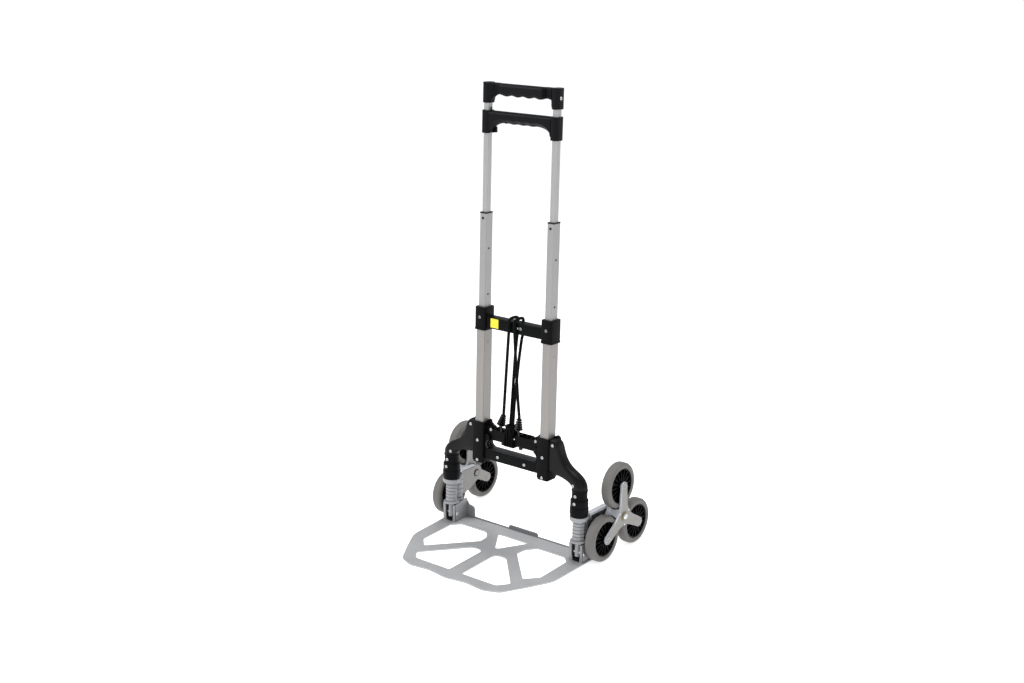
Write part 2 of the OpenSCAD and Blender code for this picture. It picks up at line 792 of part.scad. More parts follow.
// centre tube, wheel rivets and small pins of a star
module star_spacers(side) {
    color([0.14, 0.14, 0.15]) at_star(side) {
        difference() {
            rotate([0, 90, 0]) cylinder(h = 2 * (tray_outer - sheet_t), r = 9, center = true);
            rotate([0, 90, 0]) cylinder(h = 80, r = 4 + running, center = true);
        }
        for (a = [90, 210, 330]) rotate([a - 90, 0, 0]) translate([0, 0, star_r]) rotate([0, 90, 0]) {
            cylinder(h = 2 * tray_outer, r = 4, center = true);
            for (e = [-1, 1]) translate([0, 0, e * (tray_outer + 0.5)]) cylinder(h = 1, r = 5.5, center = true);
        }
    }
}

// wheel places in the star: distance and direction of each axle
module at_wheel(side, angle) {
    at_star(side) rotate([angle - 90, 0, 0]) translate([0, 0, star_r]) rotate([0, 90, 0]) children();
}

module tyre(side, angle) {
    half = tyre_w / 2;
    color([0.45, 0.44, 0.43]) at_wheel(side, angle) rotate_extrude($fn = 72) difference() {
        translate([(hub_r + wheel_r) / 2, 0]) round_rect(wheel_r - hub_r, tyre_w, 4);
        translate([hub_r - 1, -half]) square([1.05, tyre_w]);
    }
}

module hub(side, angle) {
    spokes = 15;
    color([0.04, 0.04, 0.05]) at_wheel(side, angle) difference() {
        union() {
            cylinder(h = 3, r = hub_r - 1, center = true);
            difference() {
                cylinder(h = tyre_w - 2, r = hub_r, center = true);
                cylinder(h = tyre_w, r = hub_r - 2.5, center = true);
            }
            cylinder(h = 2 * hub_half_w, r = 8.5, center = true);
            for (k = [0:spokes - 1]) rotate(360 * k / spokes) translate([5, -0.7, -tyre_w / 2 + 2.5])
                cube([hub_r - 6, 1.4, tyre_w - 5]);
        }
        cylinder(h = 40, r = 4 + running, center = true);
    }
}

base_bracket();
leg(-1);  // leg_left
leg(1);  // leg_right
outer_tube(-1);  // outer_tube_left
outer_tube(1);  // outer_tube_right
cross_bracket();
sleeve(-1);  // sleeve_left
sleeve(1);  // sleeve_right
column(-1);  // column_left
column(1);  // column_right
column_end(-1);  // column_end_left
column_end(1);  // column_end_right
frame_screws();
cross_screws();
label();
pivot_pins();
bungee(cord_left_route);  // bungee_left
bungee(cord_right_route);  // bungee_right
bungee_hitch();
hook(-1, 16);  // hook_left
hook(1, -4);  // hook_right
mid_tube(-1);  // mid_tube_left
mid_tube(1);  // mid_tube_right
mid_bushes();
button(-1);  // button_left
button(1);  // button_right
upper_tube(-1);  // upper_tube_left
upper_tube(1);  // upper_tube_right
top_handle();
handle_screws();
release_grip();
toe_plate();
hinge_bracket(-1);  // hinge_bracket_left
hinge_bracket(1);  // hinge_bracket_right
hinge_pins();
arm_shell(-1);  // arm_shell_left
arm_core(-1);  // arm_core_left
arm_barrel(-1);  // arm_barrel_left
axle(-1);  // axle_left
arm_shell(1);  // arm_shell_right
arm_core(1);  // arm_core_right
arm_barrel(1);  // arm_barrel_right
axle(1);  // axle_right
star_frame(-1);  // star_frame_left
star_spacers(-1);  // star_spacers_left
star_frame(1);  // star_frame_right
star_spacers(1);  // star_spacers_right
tyre(-1, 90);  // tyre_left_top
tyre(-1, 210);  // tyre_left_front
tyre(-1, 330);  // tyre_left_rear
hub(-1, 90);  // hub_left_top
hub(-1, 210);  // hub_left_front
hub(-1, 330);  // hub_left_rear
tyre(1, 90);  // tyre_right_top
tyre(1, 210);  // tyre_right_front
tyre(1, 330);  // tyre_right_rear
hub(1, 90);  // hub_right_top
hub(1, 210);  // hub_right_front
hub(1, 330);  // hub_right_rear
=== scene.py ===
"""Looks of the folding stair-climbing hand truck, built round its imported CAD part.

Shapes are drawn in millimetres. LEAN places frame coordinates (u across, v to the rear, w up the posts, zero on the
toe plate's hinge line), PLATE places the toe plate's (zero on the floor at its rear edge), and joint_place() places
the parts that turn. The drawing helpers add to one mesh, which piece() takes; the next shape starts a new one.
"""

import json
import random
from math import atan2, copysign, cos, degrees, hypot, pi, radians, sin, sqrt, tan

import bpy
import bmesh
from mathutils import Matrix, Vector
from mathutils.geometry import tessellate_polygon


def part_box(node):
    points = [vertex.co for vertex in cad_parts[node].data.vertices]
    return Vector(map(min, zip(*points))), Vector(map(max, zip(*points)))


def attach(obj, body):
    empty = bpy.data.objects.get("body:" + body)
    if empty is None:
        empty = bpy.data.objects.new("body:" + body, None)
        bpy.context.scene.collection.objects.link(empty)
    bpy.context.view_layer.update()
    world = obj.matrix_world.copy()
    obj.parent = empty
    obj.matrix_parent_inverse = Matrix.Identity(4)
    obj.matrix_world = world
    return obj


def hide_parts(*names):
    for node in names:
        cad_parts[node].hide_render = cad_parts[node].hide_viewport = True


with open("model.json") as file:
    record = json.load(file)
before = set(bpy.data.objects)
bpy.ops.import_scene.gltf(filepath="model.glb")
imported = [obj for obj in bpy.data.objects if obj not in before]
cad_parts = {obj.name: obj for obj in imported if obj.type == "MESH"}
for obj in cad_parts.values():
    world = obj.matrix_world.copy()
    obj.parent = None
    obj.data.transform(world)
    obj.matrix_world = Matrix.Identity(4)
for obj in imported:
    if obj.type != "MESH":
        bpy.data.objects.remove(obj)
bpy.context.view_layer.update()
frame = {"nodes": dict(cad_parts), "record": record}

# ---------- places taken from the frame ----------

MM = 0.001
JOINTS = {joint["name"]: joint for joint in frame["record"]["behaviour"]["joints"]}
SCALE = Matrix.Scale(MM, 4)
UP = Vector(JOINTS["release_squeeze"]["axis"])
HINGE = Vector(JOINTS["toe_plate_fold"]["pos_m"])
LEAN = Matrix.Translation(HINGE) @ Matrix.Rotation(-atan2(UP.y, UP.z), 4, "X") @ SCALE
PLATE_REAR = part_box("toe_plate")[1][1]
PLATE = Matrix.Translation((0, PLATE_REAR, 0)) @ SCALE
MIRROR = Matrix.Scale(-1, 4, (1, 0, 0))
SIDES = {"left": -1, "right": 1}
WHEELS = {"top": 90, "front": 210, "rear": 330}
BETWEEN = (30, 150, 270)


def middle_x(node):
    low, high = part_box(node)
    return abs(low[0] + high[0]) / 2 / MM


POST_U = middle_x("outer_tube_right")
COLUMN_U = middle_x("column_end_right")
PLATE_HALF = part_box("toe_plate")[1][0] / MM
HINGE_BEHIND = (HINGE.y - PLATE_REAR) / MM
HINGE_UP = HINGE.z / MM

# ---------- sizes in millimetres, as in the CAD part ----------

BRACKET_BASE, BRACKET_TOP = 144, 237
BOX_W, BOX_FRONT, BOX_D = 30, -18, 35
RAIL_BASE, RAIL_TOP, RAIL_T = 199, 223, 12
BEAM_BASE, BEAM_TOP, BEAM_FRONT, BEAM_REAR = 154, 180, -12, 12
SLOT_END = 69
SLEEVE_BASE, SLEEVE_STEP, LEG_FOOT = 82, 120, 142
COLLAR_BASE, RING_BASE, RING_TOP, RING_R = 72, 23.5, 28, 17.5
PIVOT_U, PIVOT_V = 178, 26
CLAMP_BASE, CLAMP_TOP, OUTER_TOP = 443, 493, 490
BAR_BASE, BAR_TOP, BAR_FRONT, BAR_REAR = 449, 474, -12, 10
HANDLE_TOP, GRIP_BASE, MID_TOP = 966, 862, 694
UPPER_W, UPPER_D = 13, 17.4
PLATE_D = 268
# holes for the tubes: half width, half depth and corner radius
OUTER_HOLE, MID_HOLE = (11.1, 14.1, 2.2), (8.9, 11.9, 2)
WHEEL_R, HUB_R, TYRE_W, STAR_R = 50, 38, 23, 68
TRAY_IN, TRAY_OUT = 12.6, 17.6
STAR_OUT = 33
ARM_REACH, ARM_IN, ARM_T, ARM_FRONT = 67, 1, 13, 13.5
STAR_W = 66.96
CORD_D = 6.5

# ---------- camera and cords ----------


def make_camera():
    place = (1.8107, -2.2880, 1.3693)
    azimuth, elevation, roll = radians(38.15), radians(17.32), radians(-0.64)
    back = Vector((
        sin(azimuth) * cos(elevation), -cos(azimuth) * cos(elevation), sin(elevation),
    ))
    level = Vector((cos(azimuth), sin(azimuth), 0))
    right = level * cos(roll) + back.cross(level) * sin(roll)
    camera = bpy.data.objects.new("camera", bpy.data.cameras.new("camera"))
    bpy.context.scene.collection.objects.link(camera)
    camera.matrix_world = Matrix.Translation(place) @ Matrix((right, back.cross(right), back)).transposed().to_4x4()
    camera.data.lens = 51.33
    camera.data.sensor_width = 36
    bpy.context.scene.camera = camera


# route of both cords in metres from the hitch over the bar to the hooks: u of the left one, u of the right one, v, w
CORD_ROUTE = [
    (-.006, .0008, -.0086, .224), (-.006, .0008, -.0085, .236), (-.0063, .0005, -.007, .25),
    (-.009, -.0022, .0005, .3), (-.0105, 0, .008, .38), (-.01, .003, .0125, .43), (-.009, .0056, .0144, .448),
    (-.009, .0056, .0142, .466), (-.009, .0056, .0136, .475), (-.009, .0056, .0116, .4786),
    (-.009, .0056, .0065, .4803), (-.009, .0056, -.001, .4806), (-.009, .0056, -.0085, .4803),
    (-.009, .0056, -.0134, .4786), (-.009, .0056, -.0156, .475), (-.009, .0056, -.0162, .466),
    (-.01, .007, -.0162, .44), (-.0135, .0115, -.0156, .38), (-.018, .0178, -.0144, .306),
    (-.0206, .021, -.0132, .272), (-.0213, .0213, -.013, .263),
]


# ---------- materials ----------


def node(tree, kind, inputs=(), **settings):
    """A shader node; each of its inputs is set to a value or linked to another node's output."""
    made = tree.nodes.new(kind)
    for name, value in settings.items():
        setattr(made, name, value)
    for name, value in dict(inputs).items():
        if isinstance(value, bpy.types.NodeSocket):
            tree.links.new(value, made.inputs[name])
        else:
            made.inputs[name].default_value = value
    return made


def set_inputs(tree, **inputs):
    """Sets or links inputs of the material's own shader; an underscore in a name stands for a space."""
    shader = tree.nodes["Principled BSDF"]
    for name, value in inputs.items():
        socket = shader.inputs[name.replace("_", " ")]
        if isinstance(value, bpy.types.NodeSocket):
            tree.links.new(value, socket)
        else:
            socket.default_value = value


def ramp(tree, factor, *stops):
    """Colour ramp through two stops of (position, colour)."""
    made = node(tree, "ShaderNodeValToRGB", {"Fac": factor})
    for element, (position, colour) in zip(made.color_ramp.elements, stops):
        element.position, element.color = position, (*colour, 1)
    return made.outputs["Color"]


# how far the roughness varies, and the scale of the broad patches
ROUGH_VARY, PATCHES = 0.08, 18


def material(name, colour, rough, metallic=0.0, grain=900, stretch=(1, 1, 1), bump=0.05, vary=0.12, specular=0.5):
    """A shader whose colour, roughness and surface come from object-space noise; stretch draws the grain out."""
    made = bpy.data.materials.new(name)
    made.use_nodes = True
    tree = made.node_tree
    place = node(tree, "ShaderNodeTexCoord").outputs["Object"]
    spread = node(tree, "ShaderNodeMapping", {"Vector": place, "Scale": stretch}).outputs["Vector"]
    fine = node(tree, "ShaderNodeTexNoise", {"Vector": spread, "Scale": grain, "Detail": 3}).outputs["Fac"]
    broad = node(tree, "ShaderNodeTexNoise", {"Vector": place, "Scale": PATCHES, "Detail": 4}).outputs["Fac"]
    both = node(tree, "ShaderNodeMath", {0: fine, 1: broad}, operation="ADD").outputs[0]
    mean = node(tree, "ShaderNodeMath", {0: both, 1: 0.5}, operation="MULTIPLY").outputs[0]
    dark, light = ([min(1, c * amount) for c in colour] for amount in (1 - vary, 1 + vary))
    reach = node(tree, "ShaderNodeMapRange", {
        "Value": mean, "To Min": rough - ROUGH_VARY, "To Max": rough + ROUGH_VARY,
    })
    relief = node(tree, "ShaderNodeBump", {"Height": fine, "Strength": bump, "Distance": 0.0004})
    set_inputs(tree, Metallic=metallic, Specular_IOR_Level=specular, Normal=relief.outputs["Normal"],
               Base_Color=ramp(tree, mean, (0.3, dark), (0.7, light)), Roughness=reach.outputs["Result"])
    return made


def braid_material(name, colour):
    """Woven sleeve of the elastic cord: two sets of crossing strands, from the tube's own UVs."""
    made = material(name, colour, 0.7, grain=2500, bump=0.1, vary=0.3, specular=0.05)
    tree = made.node_tree
    place = node(tree, "ShaderNodeTexCoord").outputs["UV"]
    strands = []
    for tilt in (45, -45):
        way = node(tree, "ShaderNodeMapping", {"Vector": place, "Rotation": (0, 0, radians(tilt))})
        wave = node(tree, "ShaderNodeTexWave", {"Vector": way.outputs["Vector"], "Scale": 2.2})
        strands.append(wave.outputs["Fac"])
    both = node(tree, "ShaderNodeMath", dict(enumerate(strands)), operation="MAXIMUM").outputs[0]
    relief = node(tree, "ShaderNodeBump", {"Height": both, "Strength": 0.6, "Distance": 0.0005})
    set_inputs(tree, Sheen_Weight=0.02, Normal=relief.outputs["Normal"])
    return made


BRUSHED = (1, 1, 0.03)
BLACK = material("black_plastic", (0.0026, 0.0027, 0.0032), 0.42, bump=0.1, grain=1400, vary=0.2, specular=0.07)
LEG = material("shoulder_plastic", (0.0036, 0.0037, 0.0042), 0.36, bump=0.06, grain=1400, vary=0.2, specular=0.15)
HOOK = material("hook_plastic", (0.002, 0.002, 0.0022), 0.22, bump=0.03, vary=0.2, specular=0.3)
# lighter black with more sheen for the beam's top and the slot rims: painted highlight
PAINTED_SHEEN_BLACK = material("beam_plastic_painted_highlight", (0.022, 0.0223, 0.024), 0.42, bump=0.1, grain=1400, vary=0.2, specular=0.4)
HANDLE = material("handle_plastic", (0.0045, 0.0046, 0.006), 0.42, bump=0.2, grain=1100, vary=0.2, specular=0.1)
SMALL = material("small_black", (0.0016, 0.0016, 0.0018), 0.35, bump=0.08, vary=0.2, specular=0.16)
HUB = material("hub_plastic", (0.0012, 0.0012, 0.0014), 0.34, bump=0.05, vary=0.2, specular=0.12)
# lighter plastic for the arm's lattice ribs: painted highlight on their lit faces
PAINTED_HIGHLIGHT_LATTICE = material("lattice_plastic_painted_highlight", (0.085, 0.087, 0.092), 0.3, bump=0.05, vary=0.2, specular=0.5)
TUBE = material("tube_aluminium", (0.285, 0.272, 0.26), 0.42, metallic=0.5, grain=700, stretch=BRUSHED, bump=0.04,
                vary=0.04)
MIDDLE = material("mid_tube_aluminium", (0.32, 0.32, 0.315), 0.38, metallic=0.5, grain=700, stretch=BRUSHED,
                  bump=0.04, vary=0.04)
UPPER = material("upper_tube_aluminium", (0.385, 0.385, 0.38), 0.36, metallic=0.5, grain=700, stretch=BRUSHED,
                 bump=0.04, vary=0.04)
PLATE_METAL = material("plate_aluminium", (0.43, 0.434, 0.44), 0.46, metallic=0.4, bump=0.1, vary=0.08)
SHEET = material("folded_sheet", (0.285, 0.29, 0.298), 0.42, metallic=0.4, bump=0.08, vary=0.08)
# darker copy of the sheet for the plate's rear lip and tab: painted shade on their upright faces
SHADED_TAB_SHEET = material("tab_sheet_painted_shade", (0.19, 0.194, 0.2), 0.42, metallic=0.4, bump=0.08, vary=0.08)
CASTING = material("grey_casting", (0.31, 0.315, 0.325), 0.40, bump=0.08, vary=0.06)
STAR = material("star_steel", (0.255, 0.248, 0.233), 0.44, metallic=0.25, bump=0.06, vary=0.05)
# light steel for flanges, webs, rivet sides and the arm's top flange: painted highlight on faces turned to the light
PAINTED_HIGHLIGHT_STEEL = material("steel_painted_highlight", (0.68, 0.70, 0.735), 0.36, metallic=0.3, bump=0.05, vary=0.08)
ARM = material("arm_steel", (0.24, 0.236, 0.227), 0.44, metallic=0.25, bump=0.06, vary=0.05)
ZINC = material("zinc_steel", (0.66, 0.67, 0.68), 0.24, metallic=1.0, bump=0.06, vary=0.06)
SCREW = material("screw_steel", (0.5, 0.505, 0.51), 0.3, metallic=0.9, bump=0.06, vary=0.06)
DULL = material("dull_zinc", (0.24, 0.24, 0.245), 0.4, metallic=0.8, bump=0.06, vary=0.06)
BRASS = material("brass_washer", (0.22, 0.185, 0.11), 0.4, metallic=0.8, bump=0.06, vary=0.1)
RUBBER = material("tyre_rubber", (0.15, 0.145, 0.137), 0.62, bump=0.25, grain=800, vary=0.06, specular=0.3)
FILM = material("yellow_film", (0.80, 0.72, 0.03), 0.4, bump=0.03, vary=0.04)
CORD = braid_material("braided_cord", (0.004, 0.0042, 0.0044))
HITCH = braid_material("hitch_cord", (0.0012, 0.0012, 0.0014))


# ---------- drawing ----------

# the mesh being drawn; drawn_mesh() hands it over
bm = bmesh.new()
PLANES = {
    "flat": lambda a, b, t: (a, b, t),
    "front": lambda a, b, t: (a, t, b),
    "side": lambda a, b, t: (t, a, b),
}


def rounded(points, steps=5, closed=True):
    """Outline through points (x, y) or (x, y, radius), with an arc at each corner that has a radius."""
    outline = []
    for i, point in enumerate(points):
        x, y, radius = (*point, 0)[:3]
        if not radius or (not closed and i in (0, len(points) - 1)):
            outline.append((x, y))
            continue
        here = Vector((x, y))
        before = (Vector(points[i - 1][:2]) - here).normalized()
        after = (Vector(points[(i + 1) % len(points)][:2]) - here).normalized()
        half = before.angle(after) / 2
        centre = here + (before + after).normalized() * radius / sin(half)
        start = here + before * radius / tan(half) - centre
        end = here + after * radius / tan(half) - centre
        first = atan2(start.y, start.x)
        sweep = (atan2(end.y, end.x) - first + pi) % (2 * pi) - pi
        for k in range(steps + 1):
            angle = first + sweep * k / steps
            outline.append((centre.x + radius * cos(angle), centre.y + radius * sin(angle)))
    return outline


def rectangle(x0, y0, x1, y1, radius=0.0, steps=4):
    return rounded([(x0, y0, radius), (x1, y0, radius), (x1, y1, radius), (x0, y1, radius)], steps)


def turn(radius, k, steps):
    """Point k of steps round a circle about the origin."""
    return radius * cos(2 * pi * k / steps), radius * sin(2 * pi * k / steps)


def round_post(half_w, half_d, radius, steps=4):
    """Rectangle about the axis of the right post."""
    return rectangle(POST_U - half_w, -half_d, POST_U + half_w, half_d, radius, steps)


def circle(x, y, radius):
    return [(x + a, y + b) for a, b in (turn(radius, k, 24) for k in range(24))]


def mirrored_outline(outline):
    return [(-x, y) for x, y in reversed(outline)]


def prism(outline, low, high, plane="flat", holes=(), place=None):
    """Closed solid between two planes, from an outline and any holes in it."""
    loops = [list(outline)] + [list(hole) for hole in holes]
    point = PLANES[plane]
    levels = [[bm.verts.new(point(a, b, t)) for loop in loops for a, b in loop] for t in (low, high)]
    if holes:
        caps = tessellate_polygon([[Vector((a, b, 0)) for a, b in loop] for loop in loops])
    else:
        caps = [range(len(outline))]
    faces = [bm.faces.new([level[i] for i in cap]) for level in levels for cap in caps]
    start = 0
    for loop in loops:
        for i in range(len(loop)):
            a, b = start + i, start + (i + 1) % len(loop)
            faces.append(bm.faces.new([levels[0][a], levels[0][b], levels[1][b], levels[1][a]]))
        start += len(loop)
    settle(faces, place, dissolve=bool(holes))


def settle(faces, place=None, dissolve=False):
    """Turns new faces outwards, merges flat ones and moves them to their place."""
    # kept in drawing order, as the order of a set would change from run to run and the merged faces with it
    verts = list(dict.fromkeys(vert for face in faces for vert in face.verts))
    bmesh.ops.recalc_face_normals(bm, faces=faces)
    if dissolve:
        edges = list(dict.fromkeys(edge for face in faces for edge in face.edges))
        bmesh.ops.dissolve_limit(bm, angle_limit=radians(1), verts=verts, edges=edges)
        verts = [vert for vert in verts if vert.is_valid]
    if place is not None:
        bmesh.ops.transform(bm, matrix=place, verts=verts)


def lathe(profile, place=None, steps=48, closed=False):
    """Solid of revolution about Z from (radius, height) points; an open profile starts and ends on the axis."""
    rings = []
    for radius, height in profile:
        if radius < 1e-6:
            rings.append([bm.verts.new((0, 0, height))])
            continue
        rings.append([bm.verts.new((*turn(radius, k, steps), height)) for k in range(steps)])
    pairs = list(zip(rings, rings[1:]))
    if closed:
        pairs.append((rings[-1], rings[0]))
    faces = []
    for lower, upper in pairs:
        for k in range(steps):
            j = (k + 1) % steps
            corners = [lower[k % len(lower)], lower[j % len(lower)], upper[j % len(upper)], upper[k % len(upper)]]
            faces.append(bm.faces.new(list(dict.fromkeys(corners))))
    settle(faces, place)


def knob(profile, corner, place=None, steps=48):
    """Lathe of an open profile with rounded corners."""
    lathe(rounded(profile, corner, closed=False), place, steps)


def loft(sections):
    """Closed solid through rings of equal point counts."""
    rings = [[bm.verts.new(point) for point in section] for section in sections]
    faces = [bm.faces.new(rings[0]), bm.faces.new(rings[-1])]
    count = len(rings[0])
    for lower, upper in zip(rings, rings[1:]):
        for k in range(count):
            j = (k + 1) % count
            faces.append(bm.faces.new([lower[k], lower[j], upper[j], upper[k]]))
    settle(faces)


def spline(points, steps):
    """Smooth curve through points, with steps stretches between each two."""
    points = [Vector(p) for p in points]
    curve = []
    for i in range(len(points) - 1):
        a, b, c, d = points[max(i - 1, 0)], points[i], points[i + 1], points[min(i + 2, len(points) - 1)]
        for k in range(steps):
            t = k / steps
            curve.append(
                0.5 * (2 * b + (c - a) * t + (2 * a - 5 * b + 4 * c - d) * t ** 2 + (3 * b - a - 3 * c + d) * t ** 3)
            )
    return curve + [points[-1]]


def tube(path, radius, sides=16, closed=False):
    """Round tube along a path, with UVs that run round it and along it in turns of its girth."""
    path = [Vector(p) for p in path]
    count = len(path)
    uv_layer = bm.loops.layers.uv.verify()
    rings, run, lengths, side = [], 0.0, [], None
    for i, point in enumerate(path):
        before = path[(i - 1) % count] if closed or i else point
        after = path[(i + 1) % count] if closed or i < count - 1 else point
        along = (after - before).normalized()
        if side is None:
            side = along.orthogonal().normalized()
        side = (side - along * side.dot(along)).normalized()
        across = along.cross(side)
        ways = [turn(1, k, sides) for k in range(sides)]
        rings.append([bm.verts.new(point + radius * (side * a + across * b)) for a, b in ways])
        run += (point - path[i - 1]).length if i else 0
        lengths.append(run)
    girth = 2 * pi * radius
    faces = []
    for i in range(count if closed else count - 1):
        lower, upper = rings[i], rings[(i + 1) % count]
        for k in range(sides):
            j = (k + 1) % sides
            faces.append(bm.faces.new([lower[k], lower[j], upper[j], upper[k]]))
            top = lengths[i] + (path[(i + 1) % count] - path[i]).length
            for loop, (a, b) in zip(faces[-1].loops, ((k, lengths[i]), (k + 1, lengths[i]), (k + 1, top), (k, top))):
                loop[uv_layer].uv = (4 * a / sides, 4 * b / girth)
    if not closed:
        faces += [bm.faces.new(rings[0]), bm.faces.new(rings[-1])]
    settle(faces)


def add_object(name, data):
    made = bpy.data.objects.new(name, data)
    bpy.context.scene.collection.objects.link(made)
    return made


def drawn_mesh(name):
    """The mesh drawn so far; a new one starts after it."""
    global bm
    mesh = bpy.data.meshes.new(name)
    bm.to_mesh(mesh)
    bm.free()
    bm = bmesh.new()
    return mesh


def piece(name, place, body, look, replaces=(), bevel=0.0, segments=3, sharp=32, mirror=False, painted_highlight_look=None):
    """Turns what was drawn into a piece that rides on a body; a bevel rounds its edges sharper than sharp degrees."""
    if mirror:
        bmesh.ops.transform(bm, matrix=MIRROR, verts=bm.verts)
        bmesh.ops.reverse_faces(bm, faces=bm.faces)
    bmesh.ops.transform(bm, matrix=place, verts=bm.verts)
    if not bevel:
        for edge in bm.edges:
            edge.smooth = edge.calc_face_angle(0) < radians(sharp)
    mesh = drawn_mesh(name)
    mesh.polygons.foreach_set("use_smooth", [True] * len(mesh.polygons))
    made = add_object(name, mesh)
    mesh.materials.append(look)
    # faces not turned along x take the second look, which paints a highlight on flanges and rims
    if painted_highlight_look:
        mesh.materials.append(painted_highlight_look)
        for polygon in mesh.polygons:
            polygon.material_index = int(abs(polygon.normal.x) < 0.6)
    if bevel:
        edges = made.modifiers.new("edges", "BEVEL")
        edges.width = bevel * MM
        edges.segments = segments
        edges.limit_method = "ANGLE"
        edges.angle_limit = radians(sharp)
        edges.harden_normals = True
        edges.miter_outer = "MITER_ARC"
    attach(made, body)
    if replaces:
        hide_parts(*replaces)
    return made


def turned(axis, angle):
    return Matrix.Rotation(radians(angle), 4, axis)


def at(x, y, z):
    return Matrix.Translation((x, y, z))


ALONG_X = turned("Y", 90)
ALONG_FRONT = turned("X", 90)


# ---------- cords ----------


def make_cords():
    to_frame = LEAN @ Matrix.Scale(1 / MM, 4)
    for index, side in enumerate(SIDES):
        path = [to_frame @ point for point in spline([(row[index], *row[2:]) for row in CORD_ROUTE], 6)]
        tube(path, CORD_D * MM / 2)
        cord = piece("bungee_cord_" + side, Matrix.Identity(4), "frame", CORD, ["bungee_" + side])
        make_hook(side)


def make_hook(side):
    """Ribbed cord end, tilted outwards, over a bent hook that grips the rail from above, behind and below."""
    top, length, tilt = Vector((21.3, -13, 264)), 25, {"left": 16, "right": -4}[side]
    ribs, wire = 5, 2.6
    pitch = (length + 1) / ribs
    profile = [(0, -2), (4.2, -2), (4.6, -1)]
    for k in range(ribs):
        width = 6.4 + 0.85 * k
        start = pitch * k - 0.6
        profile += [(3.2, start), (width - 0.6, start + 0.5), (width, start + 1.2), (width - 0.4, start + 2),
                    (3.2, start + 2.6)]
    profile += [(3.6, length), (3.2, length + 2.5), (0, length + 2.5)]
    lathe(profile, at(*top) @ turned("Y", 180 - tilt), steps=28)
    pin_u = top.x + length * sin(radians(tilt))
    low = top.z - length * cos(radians(tilt))
    back_v = RAIL_T / 2 + 0.5 + wire
    path = [
        (pin_u, top.y, low + 2), (pin_u, -11.5, low - 5), (pin_u, -back_v, RAIL_TOP + 2.8),
        (pin_u, 0, RAIL_TOP + 2.8), (pin_u, back_v, RAIL_TOP + 1.5), (pin_u, back_v + 0.2, RAIL_TOP - 6),
        (pin_u, back_v + 0.2, RAIL_BASE + 4), (pin_u, back_v, RAIL_BASE - 2), (pin_u, 2, RAIL_BASE - 2.9),
        (pin_u, -4, RAIL_BASE - 2.9),
    ]
    tube(spline(path, 5), wire, sides=12)
    knob([(0, -4.2), (4.2, -4.2, 3.4), (4.2, 4.2, 3.4), (0, 4.2)], 5,
         at(pin_u, -3, RAIL_BASE - 2.6) @ ALONG_X, steps=20)
    return piece("cord_hook_" + side, LEAN, "frame", HOOK, ["hook_" + side], mirror=side == "left")


def make_hitch():
    """Two drop-shaped loops of the cord round the rail, gathered under a band that holds the strands."""
    radius, reach_v, neck = 3.1, RAIL_T / 2 + 3.4, RAIL_TOP + 17
    for middle, top in ((-15.8, -10), (-2.4, -4.5)):
        for side in (-1, 1):
            waist, u = (middle + top) / 2 + side * 1.2, middle + side * 3.1
            path = [
                (top + side, -13, neck), (waist, -reach_v - 2, RAIL_TOP + 8),
                (waist * 0.3 + u * 0.7, -reach_v, RAIL_TOP),
                (u, -reach_v, RAIL_BASE + 8), (u, -reach_v + 1, RAIL_BASE - 2), (u, 0, RAIL_BASE - 3.3),
                (u, reach_v - 1, RAIL_BASE - 2), (u, reach_v, RAIL_BASE + 8), (waist, reach_v, RAIL_TOP - 2),
                (waist, 4, RAIL_TOP + 8), (top + side, -7, neck),
            ]
            tube(spline(path, 5), radius)
    band = [(u - 3, v - 9, neck + 2) for u, v in rectangle(-10, -7.5, 10, 7.5, 7, 6)]
    tube(band, 3.6, closed=True)
    piece("cord_hitch", LEAN, "frame", HITCH, ["bungee_hitch"])


# ---------- wheels and stars ----------


def joint_place(name):
    return Matrix.Translation(Vector(JOINTS[name]["pos_m"])) @ SCALE


def make_wheel(side, place):
    spin = joint_place("wheel_%s_%s_spin" % (side, place))
    body = "wheel_%s_%s" % (side[0], place)
    tag = "%s_%s" % (side, place)
    half = TYRE_W / 2
    outer = [(HUB_R, -half + 1.4, 0.6), (40.5, -half, 1.5), (46.2, -half, 5), (WHEEL_R, -half + 4.2, 5)]
    profile = rounded(both_ways(outer), 5)
    lathe(profile, ALONG_X, steps=96, closed=True)
    piece("tyre_rubber_" + tag, spin, body, RUBBER, ["tyre_" + tag])

    spokes = 16
    rim = [(HUB_R - 2.6, -half + 2.6, 0.4), (HUB_R - 0.1, -half + 1.7, 0.4)]
    lathe(rounded(both_ways(rim), 3), ALONG_X, steps=96, closed=True)
    web = [(4.2, -half - 0.4, 0.5), (8.5, -half - 0.4, 0.8), (9.4, -3.6, 1.5), (HUB_R - 2, -2, 0)]
    lathe(rounded(both_ways(web), 3), ALONG_X, steps=96, closed=True)
    rib = rounded([(8, -half + 1.6, 0.8), (HUB_R - 2, -half + 3.4, 0.8), (HUB_R - 2, half - 3.4, 0.8),
                   (8, half - 1.6, 0.8)], 3)
    for k in range(spokes):
        prism(rib, -0.65, 0.65, place=turned("X", 360 * k / spokes) @ turned("Y", -90) @ ALONG_FRONT)
    piece("hub_disc_" + tag, spin, body, HUB, ["hub_" + tag])


def both_ways(half):
    """Profile of a wheel part, from one side's points."""
    return half + [(radius, -x, corner) for radius, x, corner in reversed(half)]


def star_outline(grow=0.0):
    tip, valley, hollow = 10 + grow, 15 + 1.15 * grow, 50
    corners = []
    for angle in WHEELS.values():
        for distance, across, radius in ((STAR_R + tip, -tip, tip * 0.99), (STAR_R + tip, tip, tip * 0.99),
                                         (valley / 2, valley * sin(radians(60)), hollow)):
            c, s = cos(radians(angle)), sin(radians(angle))
            corners.append((distance * c - across * s, distance * s + across * c, radius))
    return rounded(corners, 8)


